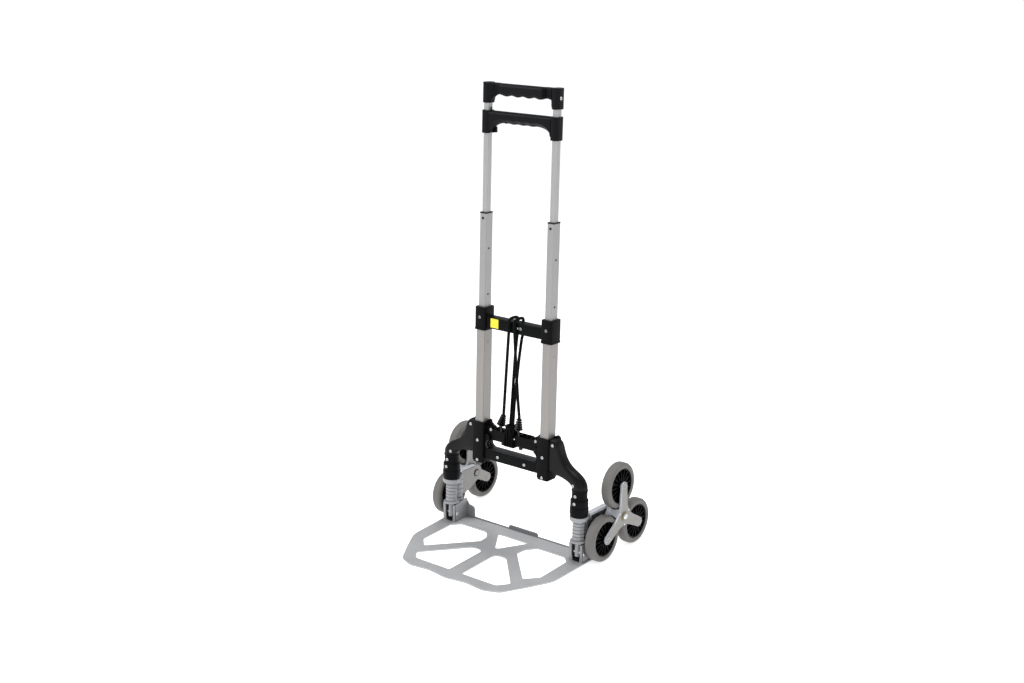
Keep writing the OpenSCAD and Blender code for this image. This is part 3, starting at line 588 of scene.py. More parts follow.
def cup(outer, inner, open_at, face_at, wall):
    """Pressed tray: a sheet face with a flange along its whole outline."""
    back_at = face_at - copysign(wall, face_at - open_at)
    rings = [
        [bm.verts.new((x, a, b)) for a, b in outline]
        for outline, x in ((outer, face_at), (outer, open_at), (inner, open_at), (inner, back_at))
    ]
    faces = [bm.faces.new(rings[0]), bm.faces.new(rings[3])]
    for lower, upper in zip(rings, rings[1:]):
        for k in range(len(outer)):
            j = (k + 1) % len(outer)
            faces.append(bm.faces.new([lower[k], lower[j], upper[j], upper[k]]))
    settle(faces)


def make_star(side):
    spin = joint_place("star_%s_turn" % side)
    body = "star_" + side[0]
    mirror = side == "left"
    for name, sign in (("outer", 1), ("inner", -1)):
        # the trays' flanges and rims take the light steel: painted highlight
        cup(star_outline(), star_outline(-1.6), sign * TRAY_IN, sign * TRAY_OUT, 2)
        nodes = ["star_frame_" + side] if sign > 0 else []
        piece("star_tray_%s_%s" % (name, side), spin, body, STAR, nodes, bevel=0.9, mirror=mirror,
              painted_highlight_look=PAINTED_HIGHLIGHT_STEEL)
    waist = rounded([(-TRAY_IN - 3, -11), (0, -6.5, 9), (TRAY_IN + 3, -11), (TRAY_IN + 3, 11), (0, 6.5, 9),
                     (-TRAY_IN - 3, 11)])
    for angle in BETWEEN:
        prism(waist, 19, 21, place=turned("X", angle - 90))
    # the webs sit in shade; their light steel is a painted highlight
    piece("star_webs_" + side, spin, body, PAINTED_HIGHLIGHT_STEEL, bevel=0.5, segments=2, mirror=mirror)

    knob([(0, -TRAY_IN - 3), (9, -TRAY_IN - 3), (9, TRAY_IN + 3), (0, TRAY_IN + 3)], 5, ALONG_X)
    for angle in BETWEEN:
        for across in (-9, 9):
            prism(rectangle(-TRAY_IN - 2, across - 2.2, TRAY_IN + 2, across + 2.2, 1.5), 13, 18,
                  place=turned("X", angle - 90))
    piece("star_blocks_" + side, spin, body, SMALL, bevel=0.5, segments=2, mirror=mirror)

    ring = rounded([(0, -1), (6, -1), (6, 0.7, 0.4), (4.6, 0.9, 0.2), (4.2, 0.3, 0.2), (0, 0.3)], 4, closed=False)
    for angle in WHEELS.values():
        spoke = turned("X", angle - 90) @ at(0, 0, STAR_R)
        lathe([(0, -TRAY_OUT), (4, -TRAY_OUT), (4, TRAY_OUT), (0, TRAY_OUT)], spoke @ ALONG_X, steps=24)
        for sign in (-1, 1):
            lathe(ring, spoke @ turned("Y", 90 * sign) @ at(0, 0, TRAY_OUT), steps=28)
    # rivet sides in the light steel: painted highlight
    piece("star_rivets_" + side, spin, body, STAR, ["star_spacers_" + side], mirror=mirror, painted_highlight_look=PAINTED_HIGHLIGHT_STEEL)
    pin = rounded([(0, -1), (2, -1), (2, 0.6, 0.5), (0, 1)], 3, closed=False)
    for angle in BETWEEN:
        for sign in (-1, 1):
            lathe(pin, turned("X", angle - 90) @ at(0, 0, 19) @ turned("Y", 90 * sign) @ at(0, 0, TRAY_OUT),
                  steps=16)
    piece("star_pins_" + side, spin, body, ZINC, mirror=mirror)


def make_axle(side):
    """Axle bolt with a brass washer and domed head outside, a nut inside ringed by a painted shadow of its hole; it
    stays with the arm.
    """
    place = joint_place("star_%s_turn" % side)
    mirror = side == "left"
    inner = ARM_IN - STAR_OUT
    washer = rounded([(3.5, 0, 0.2), (10.3, 0, 0.4), (10, 1.3, 0.5), (8, 2, 0.3), (3.5, 2, 0.2)], 3)
    lathe(washer, turned("Y", 90) @ at(0, 0, TRAY_OUT + 0.4), steps=40, closed=True)
    piece("axle_washer_" + side, place, "arm_" + side[0], BRASS, mirror=mirror)
    head = rounded([(0, inner), (4, inner), (4, TRAY_OUT + 0.5), (6.6, TRAY_OUT + 1.5, 0.3), (6.4, TRAY_OUT + 3.6, 1),
                    (4.6, TRAY_OUT + 4.8, 0.8), (2.6, TRAY_OUT + 4.8, 0.3), (2.2, TRAY_OUT + 3.8, 0.3),
                    (0, TRAY_OUT + 3.8)], 3, closed=False)
    lathe(head, ALONG_X, steps=40)
    piece("axle_bolt_" + side, place, "arm_" + side[0], ZINC, ["axle_" + side], mirror=mirror)
    # inner end: a flat grey face, the nut, inside a dark raised ring that is a painted shadow of the hole round it
    for name, look, profile in (
        ("rim", SMALL, [(6.4, -0.5), (8.4, -0.5), (8.4, 1.2, 0.4), (6.8, 1.6, 0.4), (6.4, 1, 0.2)]),
        ("face", ARM, [(0, -0.5), (6.6, -0.5), (6.6, 2, 0.8), (0, 2.4)]),
    ):
        lathe(rounded(profile, 3, closed=name == "rim"), at(inner, 0, 0) @ turned("Y", -90), steps=40,
              closed=name == "rim")
        piece("axle_%s_%s" % (name, side), place, "arm_" + side[0], look, mirror=mirror)


# ---------- wheel arms ----------


def arm_outline(inset=0.0):
    reach, top = ARM_REACH, STAR_W
    return rounded([
        (ARM_FRONT + inset, 30 + inset, 1), (ARM_FRONT + inset, 86 - inset, 2), (reach + 6, 86 - inset, 10),
        (reach + 18 - inset, top + 9, 10), (reach + 14 - inset, top - 14, 12), (reach + 2, top - 19 + inset, 14),
        (reach - 20, top - 32 + inset, 16), (26, 30 + inset, 14),
    ], 5)


def crossings(outline, offset, slope):
    """Where the line w = slope * v + offset enters and leaves an outline, as v values in pairs."""
    hits = []
    for (v0, w0), (v1, w1) in zip(outline, outline[1:] + outline[:1]):
        a, b = w0 - slope * v0 - offset, w1 - slope * v1 - offset
        if (a < 0) != (b < 0):
            hits.append(v0 + (v1 - v0) * a / (a - b))
    hits.sort()
    return list(zip(hits[::2], hits[1::2]))


def make_arm(side):
    place = LEAN @ (at(-PIVOT_U, PIVOT_V, 0) @ MIRROR if side == "left" else at(PIVOT_U, PIVOT_V, 0))
    body = "arm_" + side[0]
    hole = circle(ARM_REACH, STAR_W, 4.1)
    prism(arm_outline(), ARM_IN, ARM_IN + 2.5, "side", holes=[hole])
    piece("arm_cover_" + side, place, body, ARM, ["arm_shell_" + side], bevel=0.7)
    # flange along the top, turned down over the outer side; its pale colour is a painted highlight of the lit top
    far = ARM_REACH - 1
    outline = rounded([(ARM_IN, -4, 1), (ARM_IN + ARM_T, -10, 2), (ARM_IN + ARM_T, far, 2), (ARM_IN, far, 1)], 3)
    prism(outline, 83.4, 86)
    prism(rectangle(-9, 80.2, far, 84, 0.8), ARM_IN + ARM_T - 1.6, ARM_IN + ARM_T, "side")
    piece("arm_flange_" + side, place, body, PAINTED_HIGHLIGHT_STEEL, bevel=0.7)

    outer, inner = arm_outline(0.3), arm_outline(2.6)
    low, high = ARM_IN + 2.5, ARM_IN + ARM_T - 0.4
    prism(outer, low, low + 1.5, "side", holes=[hole])
    # the lattice and its backing sheet carry on past the pivot, outside the barrel
    near, past, below, above, sheet = -15, ARM_FRONT + 1, 33, 71, 10.8
    prism(rectangle(near, below, past, above, 1), sheet, sheet + 1, "side")
    piece("arm_back_" + side, place, body, SMALL, bevel=0.3, segments=2)

    # ribs in a lighter plastic than the black backing, so their faces read as lit: painted highlight
    prism(outer, low + 1.4, high, "side", holes=[inner])
    rib, pitch = 1.7, 13
    for slope in (-1, 0, 1):
        for k in range(-10, 14):
            offset = pitch * k * (0.5 if slope == 0 else 1) + (30 if slope == 0 else 2)
            for start, end in crossings(inner, offset, slope):
                if end - start < 5:
                    continue
                across = rib * hypot(1, slope) / 2
                prism([(start, slope * start + offset - across), (end, slope * end + offset - across),
                       (end, slope * end + offset + across), (start, slope * start + offset + across)],
                      low + 1.2, high - 0.3, "side")
    lathe(rounded([(4.2, low, 0.2), (9, low, 0.2), (9, high, 0.8), (4.2, high, 0.4)], 3),
          at(0, ARM_REACH, STAR_W) @ ALONG_X, steps=32, closed=True)
    for w in (34, 40, 52, 64, 70):
        prism(rectangle(near, w - rib / 2, past, w + rib / 2), sheet + 0.8, high, "side")
    for v in (near + 1, near + 11, near + 21):
        prism(rectangle(v - rib / 2, below, v + rib / 2, above), sheet + 0.8, high - 0.2, "side")
    piece("arm_lattice_" + side, place, body, PAINTED_HIGHLIGHT_LATTICE, ["arm_core_" + side], bevel=0.3, segments=2)

    base, top = RING_TOP + 0.6, COLLAR_BASE - 0.6
    profile = [(4.1, base, 0.3), (9.5, base, 0.6)]
    bands = 4
    pitch = (top - base) / bands
    for k in range(bands):
        start = base + pitch * k
        profile += [(8.6, start + 1.2, 0.3), (10.6, start + 1.8, 0.7), (10.6, start + pitch - 1.4, 0.7),
                    (8.6, start + pitch - 0.8, 0.3)]
    profile += [(9.5, top, 0.6), (4.1, top, 0.3)]
    lathe(rounded(profile, 3), steps=56, closed=True)
    piece("arm_hinge_barrel_" + side, place, body, CASTING, ["arm_barrel_" + side])
    prism(rectangle(ARM_IN, 5, ARM_IN + ARM_T - 4, ARM_FRONT + 1.5), 33, 62)
    piece("arm_knuckle_" + side, place, body, CASTING, bevel=1.2)


# ---------- columns, sleeves and legs ----------


def make_column(side):
    place = LEAN @ at(SIDES[side] * COLUMN_U, 0, 0)
    profile = [(0, RING_BASE), (RING_R - 1.4, RING_BASE, 0.6), (RING_R, RING_BASE + 1.2, 0.8),
               (RING_R, RING_TOP - 1, 0.8), (RING_R - 1.6, RING_TOP, 0.6), (11.6, RING_TOP + 0.4, 0.4)]
    bands, base = 5, RING_TOP + 1.5
    pitch = (COLLAR_BASE - 3.5 - base) / bands
    for k in range(bands):
        start = base + pitch * k
        profile += [(10.4, start + 0.6, 0.2), (12.6, start + 1.1, 0.7), (12.8, start + pitch / 2, 4),
                    (12.6, start + pitch - 1.1, 0.7), (10.4, start + pitch - 0.6, 0.2)]
    profile += [(13.2, COLLAR_BASE - 3, 1), (18.2, COLLAR_BASE + 0.5, 1.5), (19.8, COLLAR_BASE + 4, 1),
                (19.8, SLEEVE_BASE - 1.2, 0.8), (18.8, SLEEVE_BASE, 0.5), (0, SLEEVE_BASE)]
    knob(profile, 3, steps=72)
    piece("column_body_" + side, place, "frame", CASTING, ["column_" + side])

    # seam ribs with knuckles down both sides of the shaft, and the lugs that hold the arm's pin
    for sign in (-1, 1):
        edge = [(sign * 10, base)]
        for k in range(bands):
            start = base + pitch * k
            edge += [(sign * 12.6, start + 0.6), (sign * 14.9, start + 1.6), (sign * 14.9, start + pitch - 3.4),
                     (sign * 12.6, start + pitch - 1.2)]
        edge.append((sign * 10, base + pitch * bands))
        prism(edge, -1.8, 1.8, "front")
    across = PIVOT_U - COLUMN_U
    lug = rounded([(across - 11, 4), (across + 11, 4), (across + 11, PIVOT_V + 11, 10.9),
                   (across - 11, PIVOT_V + 11, 10.9)], 8)
    for base_w in (RING_BASE, COLLAR_BASE + 1):
        prism(lug, base_w, base_w + 4.5, holes=[circle(across, PIVOT_V, 4.05)])
    piece("column_lugs_" + side, place if side == "right" else place @ MIRROR, "frame", CASTING, bevel=0.6,
          segments=2)

    profile = [(0, SLEEVE_BASE), (18.2, SLEEVE_BASE, 0.5), (19, SLEEVE_BASE + 2, 1), (19.9, SLEEVE_BASE + 9, 4),
               (19.9, 101, 2), (19.2, 103.4, 0.3), (18.6, 103.8, 0.2), (19.1, 104.4, 0.2),
               (19.1, SLEEVE_STEP - 1.4, 0.8), (18.2, SLEEVE_STEP, 0.6), (16.9, SLEEVE_STEP + 0.4, 0.4),
               (16.5, SLEEVE_STEP + 4, 2), (16.5, 136, 1), (17.4, 138, 0.8), (17.4, LEG_FOOT - 0.8, 0.8),
               (16.4, LEG_FOOT, 0.4), (0, LEG_FOOT)]
    knob(profile, 4, steps=72)
    piece("column_sleeve_" + side, place, "frame", BLACK, ["sleeve_" + side])


def superellipse(low, high, half_depth, power):
    """Ring between two edge points of a leg, across its depth; a high power makes a boxier ring."""
    middle, reach = (low + high) / 2, (high - low) / 2
    ring = []
    for k in range(40):
        c, s = turn(1, k, 40)
        along = copysign(abs(c) ** (2 / power), c)
        across = copysign(abs(s) ** (2 / power), s)
        point = middle + reach * along
        ring.append((point.x, half_depth * across, point.y))
    return ring


def make_leg(side):
    """Shoulder that sweeps from the bracket's box out and down to the sleeve."""
    upper = [(103, 238), (113, 238), (122, 231), (127, 217), (133, 203), (143, 190), (157, 180), (172, 172),
             (184, 162), (190.5, 151), (191.5, 141)]
    lower = [(103, 163), (112, 162), (120, 161), (128, 159.8), (135, 158.3), (142, 156), (148, 153.4), (153, 150.6),
             (156, 147.6), (158, 144.5), (158.5, 141)]
    depth = [14, 14, 13.8, 13.6, 13.4, 13.4, 13.8, 14.6, 15.6, 16.3, 16.5]
    power = [6, 6, 5.5, 5, 4.4, 3.8, 3.2, 2.8, 2.4, 2.1, 2]
    rows = spline([(d, p, 0) for d, p in zip(depth, power)], 5)
    sections = [
        superellipse(low, high, row.x, row.y)
        for low, high, row in zip(spline([(*p, 0) for p in lower], 5), spline([(*p, 0) for p in upper], 5), rows)
    ]
    loft(sections)
    piece("shoulder_" + side, LEAN, "frame", LEG, ["leg_" + side], mirror=side == "left", sharp=50)


# ---------- base bracket ----------


def make_bracket():
    for side in SIDES:
        mirror = side == "left"
        inner, outer = POST_U - BOX_W / 2, POST_U + BOX_W / 2
        front, rear = BOX_FRONT, BOX_FRONT + BOX_D
        tube_hole = round_post(*OUTER_HOLE)
        shell = rounded([(inner, front, 3.5), (outer, front, 3.5), (outer, rear, 3), (inner, rear, 3)], 4)
        prism(shell, BRACKET_BASE + 4, BRACKET_TOP, holes=[tube_hole])
        foot = rounded([(inner + 1.5, front + 1.5, 3), (outer - 1.5, front + 1.5, 3), (outer - 1.5, rear - 1.5, 3),
                        (inner + 1.5, rear - 1.5, 3)], 4)
        prism(foot, BRACKET_BASE, BRACKET_BASE + 4.2)
        piece("bracket_box_" + side, LEAN, "frame", BLACK, ["base_bracket"] if side == "left" else (),
              bevel=0.9, mirror=mirror)

        # clip lugs that rise behind the tube on both sides of the box, and the gusset down to the rail
        prism(rounded([(outer - 2, 215, 1), (outer - 2, 240, 3), (outer + 5, 243, 4), (outer + 11, 239, 6),
                       (outer + 13, 226, 3), (outer + 8, 215, 3)], 4), 3, 13, "front")
        prism(rounded([(inner + 2, 216, 1), (inner + 2, 241, 3), (inner - 3, 242, 2.5), (inner - 8, 236, 3),
                       (inner - 14, 231, 2), (inner - 21, 228, 1.5), (inner - 21, 216, 1)], 4), -1, 6, "front")
        piece("bracket_lugs_" + side, LEAN, "frame", BLACK, bevel=0.9, mirror=mirror)

    half = POST_U - BOX_W / 2 + 1
    tooth, dip = RAIL_TOP + 5.5, RAIL_TOP + 0.4
    top = [(half, RAIL_BASE), (half, tooth)]
    for u in (54, 42):
        top += [(u + 5.2, tooth, 1.2), (u + 3.4, dip, 2), (u - 3.4, dip, 2), (u - 5.2, tooth, 1.2)]
    top += [(34.5, tooth, 1.2), (33.2, RAIL_TOP, 1)]
    corners = [(-u, *rest) for u, *rest in top] + [(u, *rest) for u, *rest in reversed(top)]
    prism(rounded(corners, 3), -RAIL_T / 2, RAIL_T / 2, "front")
    slot_r = (RAIL_BASE - BEAM_TOP) / 2
    for sign in (-1, 1):
        end = sign * (SLOT_END - slot_r)
        arc = [
            (end + sign * slot_r * cos(radians(a)), BEAM_TOP + slot_r + slot_r * sin(radians(a)))
            for a in range(-90, 91, 9)
        ]
        edge = sign * half
        prism(arc + [(edge, RAIL_BASE), (edge, BEAM_TOP)], BEAM_FRONT, RAIL_T / 2 + 7, "front")
        low, high = RAIL_BASE - 0.3, RAIL_BASE + 12
        prism([(end, low), (edge, low), (edge, high), (end + sign * 3, high)], BEAM_FRONT, 0, "front")
    piece("bracket_rail", LEAN, "frame", BLACK, bevel=0.8)
    # rims along the slot's ends in the lighter black: painted highlight arcs
    for sign in (-1, 1):
        for v, radius in ((BEAM_FRONT + 0.2, 1.2), (-2, 1.0), (6, 1.0)):
            end = SLOT_END - slot_r
            rim = [(sign * (end + (slot_r - 0.3) * cos(radians(a))), v,
                    BEAM_TOP + slot_r + (slot_r - 0.3) * sin(radians(a))) for a in range(-70, 71, 10)]
            tube(rim, radius, sides=10)
    piece("bracket_slot_rims_painted_highlight", LEAN, "frame", PAINTED_SHEEN_BLACK)

    # beam: flat front, sloping ribbed top
    section = rounded([(BEAM_FRONT, BEAM_BASE, 2.5), (BEAM_REAR, BEAM_BASE, 2.5), (BEAM_REAR, BEAM_TOP, 3),
                       (1, BEAM_TOP, 3), (BEAM_FRONT, BEAM_TOP - 3, 1.8)], 5)
    prism(section, -half, half, "side")
    piece("bracket_beam", LEAN, "frame", BLACK, bevel=0.5, sharp=60)
    # ridges and a thin slab over the sloping top in the lighter black: painted highlight of the lit top
    slope = degrees(atan2(3, 1 - BEAM_FRONT))
    for k in range(-10, 11):
        prism(rectangle(-0.7, 1, 0.7, 12.2, 0.5), -0.6, 0.3,
              place=at(k * 6, BEAM_FRONT, BEAM_TOP - 3) @ turned("X", slope) @ turned("Z", -18))
    slab = [(BEAM_FRONT + 1.5, BEAM_TOP - 3.5), (BEAM_REAR - 2, BEAM_TOP - 1), (BEAM_REAR - 2, BEAM_TOP + 0.25),
            (1, BEAM_TOP + 0.25), (BEAM_FRONT + 1.2, BEAM_TOP - 2.5)]
    prism(slab, -half, half, "side")
    piece("beam_ridges_painted_highlight", LEAN, "frame", PAINTED_SHEEN_BLACK, bevel=0.2, segments=2)


# ---------- cross bracket, sticker and screws ----------


def make_cross_bracket():
    for side in SIDES:
        shell = round_post(14, 17, 4)
        hole = round_post(*MID_HOLE)
        wide = round_post(*OUTER_HOLE)
        prism(shell, OUTER_TOP, CLAMP_TOP, holes=[hole])
        prism(shell, CLAMP_BASE + 4, OUTER_TOP, holes=[wide])
        prism(round_post(14.8, 17.8, 4.6), CLAMP_BASE, CLAMP_BASE + 4.4, holes=[wide])
        piece("cross_clamp_" + side, LEAN, "frame", BLACK, ["cross_bracket"] if side == "left" else (),
              bevel=0.8, mirror=side == "left")
    half = POST_U - 13
    section = rounded([(BAR_FRONT, BAR_BASE, 1.5), (BAR_REAR, BAR_BASE, 1.5), (BAR_REAR, BAR_TOP, 1.5),
                       (BAR_FRONT, BAR_TOP - 0.8, 1.5)], 4)
    prism(section, -half, half, "side")
    piece("cross_bar", LEAN, "frame", BLACK, sharp=60)
    for sign in (-1, 1):
        knob([(0, 0), (5.5, 0), (5.5, 7, 1.2), (4, 8, 1), (0, 8)], 4,
             at(sign * (half + 3), -6, BAR_TOP - 2) @ turned("Y", -90 * sign), steps=32)
    piece("cross_bar_bosses", LEAN, "frame", BLACK)
    prism(rectangle(-62, CLAMP_BASE + 9, -41, CLAMP_BASE + 29, 1.2), BAR_FRONT - 0.4, BAR_FRONT + 0.1, "front")
    piece("plain_sticker", LEAN, "frame", FILM, ["label"], bevel=0.12, segments=2)
    # small rivet and an empty socket beside the bar's screw
    ring = rounded([(1.3, 0, 0.1), (2.3, 0, 0.2), (2.3, 0.6, 0.3), (1.3, 0.6, 0.2)], 2)
    lathe(ring, at(-4.6, BAR_FRONT, 462) @ ALONG_FRONT, steps=20, closed=True)
    piece("bar_socket", LEAN, "frame", SMALL)
    knob([(0, -0.5), (2.6, -0.5), (2.6, 0.9, 0.5), (0, 1.2)], 3,
         at(10.2, BAR_FRONT, 462.5) @ ALONG_FRONT, steps=24)
    piece("bar_rivet", LEAN, "frame", ZINC)


def screw_mesh(head, recess):
    """Domed screw head with a cross recess, facing +Z, cut once and copied to each place."""
    knob([(0, -0.6), (head, -0.6), (head, 0.7, 0.3), (head * 0.72, 1.7, 1.4), (0, 2.0)], 5, steps=32)
    blank = add_object("screw", drawn_mesh("screw"))
    wide = 0.42
    arm = rounded([(-recess, -wide, 0.2), (-wide, -wide), (-wide, -recess, 0.2), (wide, -recess, 0.2), (wide, -wide),
                   (recess, -wide, 0.2), (recess, wide, 0.2), (wide, wide), (wide, recess, 0.2), (-wide, recess, 0.2),
                   (-wide, wide), (-recess, wide, 0.2)], 2)
    prism(arm, 0.7, 3)
    cutter = add_object("recess", drawn_mesh("recess"))
    cut = blank.modifiers.new("cut", "BOOLEAN")
    cut.object, cut.operation, cut.solver = cutter, "DIFFERENCE", "EXACT"
    made = bpy.data.meshes.new_from_object(blank.evaluated_get(bpy.context.evaluated_depsgraph_get()))
    for thing in (blank, cutter):
        bpy.data.objects.remove(thing)
    return made


def make_screws():
    big, small = screw_mesh(3.5, 2.0), screw_mesh(3.1, 1.8)
    slots = random.Random(7)
    frame_places = [
        (POST_U, BOX_FRONT, BRACKET_BASE + 6), (POST_U, BOX_FRONT, BRACKET_BASE + 51), (111, -14, BRACKET_TOP - 11),
        (167, -15, 150), (COLUMN_U, -16.6, 129), (COLUMN_U, -19.2, 113), (61, -RAIL_T / 2, RAIL_TOP - 1),
        (36, BEAM_FRONT, BRACKET_BASE + 21),
    ]
    for sign in (-1, 1):
        for u, v, w in frame_places:
            copy_into(big, at(sign * u, v, w) @ ALONG_FRONT @ turned("Z", slots.uniform(0, 90)))
    piece("frame_screw_heads", LEAN, "frame", SCREW, ["frame_screws"])
    clamp_screw = CLAMP_BASE + 28
    for u, v, w in ((-POST_U, -17, clamp_screw), (POST_U, -17, clamp_screw), (18.2, BAR_FRONT, CLAMP_BASE + 19)):
        copy_into(big, at(u, v, w) @ ALONG_FRONT @ turned("Z", slots.uniform(0, 90)))
    piece("cross_screw_heads", LEAN, "frame", DULL, ["cross_screws"])
    copy_into(small, at(2.4, -RAIL_T / 2, RAIL_TOP - 8.5) @ ALONG_FRONT)
    piece("rail_screw_head", LEAN, "frame", ZINC)
    for sign in (-1, 1):
        copy_into(big, at(sign * (POST_U + UPPER_W / 2 + 3), -1.5, HANDLE_TOP - 20) @ turned("Y", 90 * sign))
    piece("handle_screw_heads", LEAN, "upper_stage", SCREW, ["handle_screws"])


def copy_into(mesh, place):
    before = len(bm.verts)
    bm.from_mesh(mesh)
    bm.verts.ensure_lookup_table()
    bmesh.ops.transform(bm, matrix=place, verts=bm.verts[before:])


# ---------- handles ----------


def grip_bar(half, section):
    """Loft across u through rings section(u) of (v, w) points."""
    count = 160
    rings = []
    for k in range(count + 1):
        u = -half + 2 * half * k / count
        rings.append([(u, v, w) for v, w in section(u)])
    loft(rings)


def waves(u, crest, pitch, height, reach):
    """Finger waves: how far the lower edge hangs down at u."""
    return height * (0.5 + 0.5 * cos(2 * pi * (u - crest) / pitch)) if abs(u) < reach else 0


def quarter(reach, width, height):
    """Drop of an elliptical quarter arch that starts width away from the block and ends height lower at it."""
    return height * (1 - sqrt(1 - (1 - max(reach, 0) / width) ** 2)) if reach < width else 0


def make_handles():
    block_w, block_d, block_h = UPPER_W + 6, UPPER_D + 5, 42
    inner = POST_U - block_w / 2
    base = HANDLE_TOP - 24

    def top_section(u):
        reach = inner - abs(u)
        front = 0.5 - min(9.5, max(0, reach - 19) * 1.8) - max(0, 7 - reach) * 1.2
        low = base - quarter(reach, 18, 17.5) - waves(u, 17.6, 28.6, 2.6, 54)
        return rectangle(front, low, 10, HANDLE_TOP - 0.6, min(7, (10 - front) * 0.42), 5)

    grip_bar(inner + 1, top_section)
    piece("top_grip", LEAN, "upper_stage", HANDLE, ["top_handle"], sharp=50)
    for side in SIDES:
        shell = rectangle(POST_U - block_w / 2, -block_d / 2, POST_U + block_w / 2, block_d / 2 + 2, 7.5, 7)
        hole = round_post(UPPER_W / 2 + 0.1, UPPER_D / 2 + 0.1, 4.2)
        prism(shell, HANDLE_TOP - block_h, HANDLE_TOP - 3, holes=[hole])
        prism(shell, HANDLE_TOP - 3, HANDLE_TOP)
        piece("handle_block_" + side, LEAN, "upper_stage", HANDLE, bevel=1, mirror=side == "left")

    block_w, block_d, block_h = UPPER_W + 7, UPPER_D + 7, 47
    inner = POST_U - block_w / 2
    top, base = GRIP_BASE + block_h, GRIP_BASE + 23

    def squeeze_section(u):
        low = base - quarter(inner - abs(u), 38, 22.5) - waves(u, 4, 24, 1.2, 42)
        return rounded([(-10.5, low + 8, 3), (-2.5, low, 3), (10.5, low, 5), (10.5, top - 0.5, 6.5),
                        (-10.5, top - 0.5, 6.5)], 5)

    grip_bar(inner + 1, squeeze_section)
    piece("squeeze_grip", LEAN, "release", HANDLE, ["release_grip"], sharp=50)
    half_w, half_d, slot = block_w / 2, block_d / 2, 4.5
    hole_w, hole_d = UPPER_W / 2 + 0.4, UPPER_D / 2 + 0.4
    # the lowest part of each block is open towards the hand
    socket = rounded([
        (-half_w, -slot, 0.5), (-half_w, -half_d, 7), (half_w, -half_d, 7.5), (half_w, half_d, 7.5),
        (-half_w, half_d, 7), (-half_w, slot, 0.5), (-hole_w, slot, 0.5), (-hole_w, hole_d, 4),
        (hole_w, hole_d, 4.2), (hole_w, -hole_d, 4.2), (-hole_w, -hole_d, 4), (-hole_w, -slot, 0.5),
    ], 6)
    for side in SIDES:
        shell = round_post(half_w, half_d, 7.5, 7)
        hole = round_post(hole_w, hole_d, 4.2)
        prism(shell, GRIP_BASE + 17, top, holes=[hole])
        prism([(u + POST_U, v) for u, v in socket], GRIP_BASE, GRIP_BASE + 17.4)
        piece("squeeze_block_" + side, LEAN, "release", HANDLE, bevel=0.9, mirror=side == "left")
        prism(rectangle(inner - 8.5, GRIP_BASE + 1, inner - 1, GRIP_BASE + 13, 1), 4, 9, "front")
        if side == "left":
            prism(rectangle(inner - 1.5, top - 4, inner + 1, top + 7, 0.6), -5, -1.5, "front")
        piece("release_latch_" + side, LEAN, "release", SMALL, bevel=0.5, mirror=side == "left")


# ---------- tubes ----------


def make_tube_details():
    """Fluted upper tubes, snap button heads, plugs in the middle tubes' side holes, dimples of the outer tubes."""
    w, d, flute = UPPER_W / 2, UPPER_D / 2, 0.7
    profile = rounded([
        (-w, -d, 4.2), (-1.9, -d, 0.2), (-1.4, -d + flute, 0.3), (1.4, -d + flute, 0.3), (1.9, -d, 0.2),
        (w, -d, 4.2), (w, -3, 0.2), (w - flute, -2.4, 0.3), (w - flute, 2.4, 0.3), (w, 3, 0.2),
        (w, d, 4.2), (-w, d, 4.2), (-w, 3, 0.2), (flute - w, 2.4, 0.3), (flute - w, -2.4, 0.3), (-w, -3, 0.2),
    ], 4)
    for side, sign in SIDES.items():
        post = LEAN @ at(sign * POST_U, 0, 0)
        prism(profile, MID_TOP - 60, HANDLE_TOP - 4)
        piece("fluted_tube_" + side, post, "upper_stage", UPPER, ["upper_tube_" + side], sharp=25)
        knob([(0, -1), (2.6, -1), (2.6, 1, 0.6), (0, 1.3)], 4,
             at(0, -11.5, MID_TOP - 10) @ ALONG_FRONT, steps=28)
        piece("snap_button_" + side, post, "button_" + side[0], HUB, ["button_" + side])
        for height in (OUTER_TOP + 30, MID_TOP - 75):
            for face in (-1, 1):
                knob([(0, -0.6), (2.3, -0.6), (2.3, 0.25, 0.2), (1.6, 0.1, 0.1), (0, 0.1)], 2,
                     at(face * 8.5, -1, height) @ turned("Y", 90 * face), steps=24)
        piece("mid_tube_plugs_" + side, post, "mid_stage", HUB)
        for face in (-1, 1):
            knob([(0, -0.6), (2.4, -0.6), (2.4, 0.1, 0.1), (1.7, 0.35, 0.2), (1.2, 0.05, 0.1), (0, 0.05)], 2,
                 at(face * 11, -1, 415) @ turned("Y", 90 * face), steps=24)
        piece("outer_tube_dimples_" + side, post, "frame", DULL)


# ---------- toe plate ----------


def plate_outline():
    w, d = PLATE_HALF, PLATE_D
    half = [(w, 0, 3), (w - 5, -150, 60), (w - 32, -200, 30), (133, -254, 28), (98, 1 - d, 30), (50, 7 - d, 60)]
    return rounded([(-w, 0, 3)] + half + [(0, -d - 1, 60)] + [(-x, y, r) for x, y, r in reversed(half[1:])], 6)


def plate_windows():
    side = rounded([(161, -62, 10), (143, -43, 10), (70, -43, 16), (52, -66, 14), (50, -90, 4), (135, -180, 4),
                    (161, -153, 8)], 5)
    front = rounded([(16, -236, 4), (16, -122, 14), (46, -121, 18), (129, -212, 6), (109, -236, 10)], 5)
    middle = rounded([(-43, -36, 3), (43, -36, 3), (0, -104, 7)], 5)
    return [side, mirrored_outline(side), front, mirrored_outline(front), middle]


def inside(outline, x, y):
    odd = False
    for (x0, y0), (x1, y1) in zip(outline, outline[1:] + outline[:1]):
        if (y0 > y) != (y1 > y) and x < x0 + (x1 - x0) * (y - y0) / (y1 - y0):
            odd = not odd
    return odd


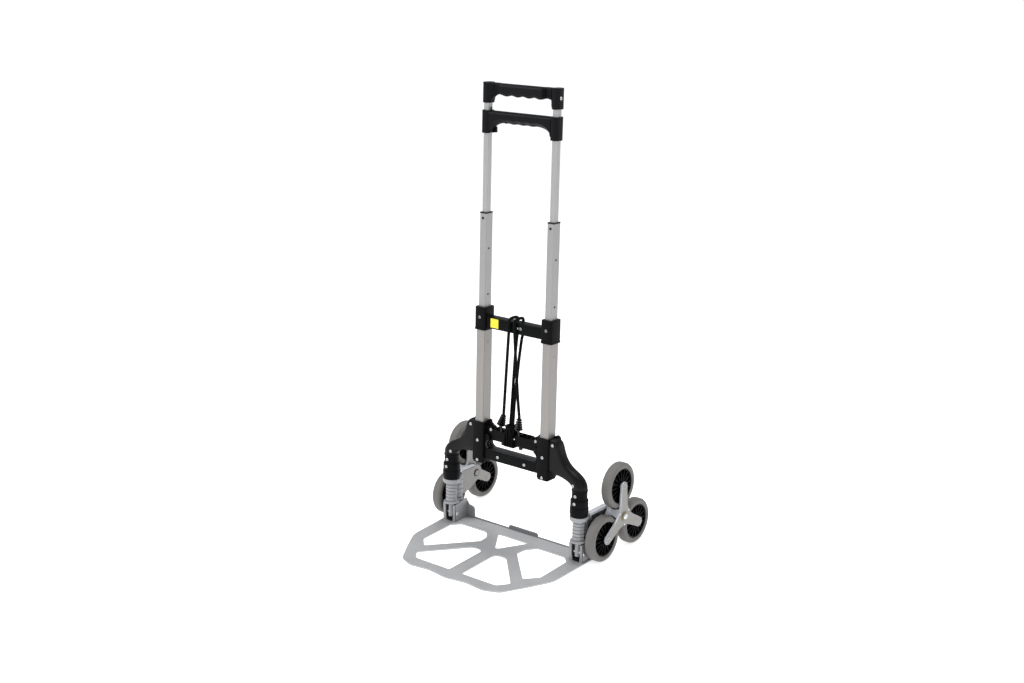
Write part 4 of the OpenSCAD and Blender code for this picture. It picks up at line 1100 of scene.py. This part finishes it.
def make_toe_plate():
    thick = 3
    prism(plate_outline(), 0, thick, holes=plate_windows())
    piece("toe_plate_sheet", PLATE, "toe", PLATE_METAL, ["toe_plate"], bevel=0.9)
    lip = PLATE_HALF - 45
    # rear lip and tab, bent up from the plate, in the darker sheet: painted shade
    prism(rounded([(-2.4, thick - 0.6), (0, thick - 0.6), (0, 5.6, 1.1), (-2.4, 5.6, 1.1)], 4), -lip, lip, "side")
    prism(rounded([(-40, thick - 0.6), (-40, 13, 5), (40, 13, 5), (40, thick - 0.6)], 6), -2.5, 0, "front")
    piece("toe_plate_rear_rim", PLATE, "toe", SHADED_TAB_SHEET, bevel=0.6)

    # tread of small raised pads
    pitch, pad, high, margin = 4.4, 1.6, 0.6, 3.4
    outline, windows = plate_outline(), plate_windows()
    corners = ((-1, -1), (1, -1), (1, 1), (-1, 1))
    for i in range(-44, 45):
        for k in range(1, 61):
            x, y = pitch * i, -pitch * k - 2
            around = [(x + a * margin, y + b * margin) for a, b in ((1, 0), (-1, 0), (0, 1), (0, -1), (0, 0))]
            if not all(inside(outline, *p) and not any(inside(w, *p) for w in windows) for p in around):
                continue
            if abs(abs(x) - COLUMN_U) < 19 and y > HINGE_BEHIND - 19:
                continue
            base = [bm.verts.new((x + a * pad, y + b * pad, thick - 0.1)) for a, b in corners]
            top = [bm.verts.new((x + a * pad * 0.6, y + b * pad * 0.6, thick + high)) for a, b in corners]
            bm.faces.new(base[::-1])
            bm.faces.new(top)
            for a in range(4):
                bm.faces.new([base[a], base[a - 3], top[a - 3], top[a]])
    piece("toe_plate_tread", PLATE, "toe", PLATE_METAL, sharp=80)


def make_hinge_bracket(side):
    """Folded sheet round the column's end: two walls with front lips, floor and rear flange."""
    place = Matrix.Translation((SIDES[side] * COLUMN_U * MM, HINGE.y, HINGE.z)) @ SCALE
    gap, wall, front, rear, low = 15, 2, -7, -HINGE_BEHIND - 3, 3 - HINGE_UP
    mirror = side == "left"
    wall_side = rounded([(front, low + 0.1), (front, 21.3, 1.5), (0, 22.3, 4), (11, 23, 8), (rear - 4, 27, 2),
                         (rear - 1, 25, 1), (rear - 1, low + 0.1)], 4)
    for sign in (-1, 1):
        x = sign * gap if sign > 0 else -gap - wall
        prism(wall_side, x, x + wall, "side", holes=[circle(0, 0, 3.1)])
        # front lip, turned in and wider at its foot
        edge, tip = sign * (gap + wall), sign * (gap - 4.2)
        lip = [(edge, low), (edge, 20.8), (tip, 20.8), (tip, low + 14), (tip - sign * 2, low)]
        prism(lip if sign < 0 else lip[::-1], front - 0.2, front + 1.6, "front")
    flange = rounded([(-gap - 24, low), (-gap - 24, 9, 8), (-gap - 8, 11, 3), (-gap - 1, 22, 1), (-gap - 1, low)], 6)
    prism(flange, rear - wall, rear, "front")
    prism(rectangle(-gap, front + 1, gap, 15.5), low, low + 1.5)
    piece("hinge_walls_" + side, place, "toe", SHEET, ["hinge_bracket_" + side], bevel=0.6, mirror=mirror)
    # a black plate behind the column's end, a painted shadow that darkens the gap there, and a real black foot below
    # it
    prism(rectangle(-gap + 0.3, low + 1, gap - 0.3, 15, 1), 12.5, 17, "front")
    prism(rectangle(-8, -8, 8, 8, 2), low + 1, low + 6.5)
    piece("hinge_foot_and_painted_shade_" + side, place, "toe", SMALL, bevel=0.5, mirror=mirror)


def make_hinge_pins():
    head = rounded([(0, 0), (4.8, 0), (4.8, 0.8, 0.3), (3.4, 1.8, 1.2), (1.6, 1.9, 0.2), (1.4, 1.2, 0.1), (0, 1.2)],
                   4, closed=False)
    reach = 17
    for sign in (-1, 1):
        lathe([(0, -reach), (3, -reach), (3, reach), (0, reach)], at(sign * COLUMN_U, 0, 0) @ ALONG_X, steps=28)
        for end in (-1, 1):
            lathe(head, at(sign * COLUMN_U + end * reach, 0, 0) @ turned("Y", 90 * end), steps=28)
    piece("hinge_pin_heads", Matrix.Translation((0, HINGE.y, HINGE.z)) @ SCALE, "toe", ZINC, ["hinge_pins"])


# ---------- CAD nodes that stay ----------


def dress(name, look):
    made = frame["nodes"][name]
    if not made.data.materials:
        made.data.materials.append(look)
    for index in range(len(made.data.materials)):
        made.material_slots[index].material = look


def dress_cad_nodes():
    for side in SIDES:
        dress("outer_tube_" + side, TUBE)
        dress("mid_tube_" + side, MIDDLE)
        dress("column_end_" + side, CASTING)
    dress("mid_bushes", SMALL)
    dress("pivot_pins", ZINC)


# ---------- studio ----------


def area_light(name, place, aim, size, power):
    light = bpy.data.lights.new(name, "AREA")
    light.shape = "RECTANGLE"
    light.size, light.size_y = size
    light.energy = power
    made = add_object(name, light)
    made.location = place
    made.rotation_mode = "QUATERNION"
    made.rotation_quaternion = (Vector(aim) - Vector(place)).to_track_quat("-Z", "Y")


def make_studio():
    bmesh.ops.create_grid(bm, x_segments=2, y_segments=2, size=60)
    floor = add_object("floor", drawn_mesh("floor"))
    floor.location.z = -0.0006
    paper = material("floor_paper", (0.80, 0.80, 0.80), 0.9, bump=0.0, vary=0.01, grain=40, specular=0.0)
    set_inputs(paper.node_tree, Emission_Color=(1, 1, 1, 1), Emission_Strength=0.66)
    floor.data.materials.append(paper)
    world = bpy.data.worlds.new("studio")
    world.use_nodes = True
    tree = world.node_tree
    place = node(tree, "ShaderNodeTexCoord").outputs["Generated"]
    height = node(tree, "ShaderNodeSeparateXYZ", {0: place}).outputs["Z"]
    sky = ramp(tree, height, (0.02, (0.95, 0.95, 0.95)), (0.5, (0.42, 0.43, 0.45)))
    tree.links.new(sky, tree.nodes["Background"].inputs["Color"])
    bpy.context.scene.world = world
    area_light("key", (-1.3, -1.6, 2.5), (0, 0, 0.4), (1.5, 1.5), 45)
    area_light("top", (0.2, 0.5, 2.6), (0, 0, 0.4), (1.6, 1.2), 35)
    area_light("fill", (2.4, -1.2, 1.4), (0, 0, 0.5), (1.0, 1.6), 8)
    bpy.context.scene.view_settings.view_transform = "Standard"


make_camera()
make_cords()
make_hitch()
for side_name in SIDES:
    for wheel_name in WHEELS:
        make_wheel(side_name, wheel_name)
    make_star(side_name)
    make_axle(side_name)
    make_arm(side_name)
    make_column(side_name)
    make_leg(side_name)
    make_hinge_bracket(side_name)
make_bracket()
make_cross_bracket()
make_screws()
make_handles()
make_tube_details()
make_toe_plate()
make_hinge_pins()
dress_cad_nodes()
make_studio()
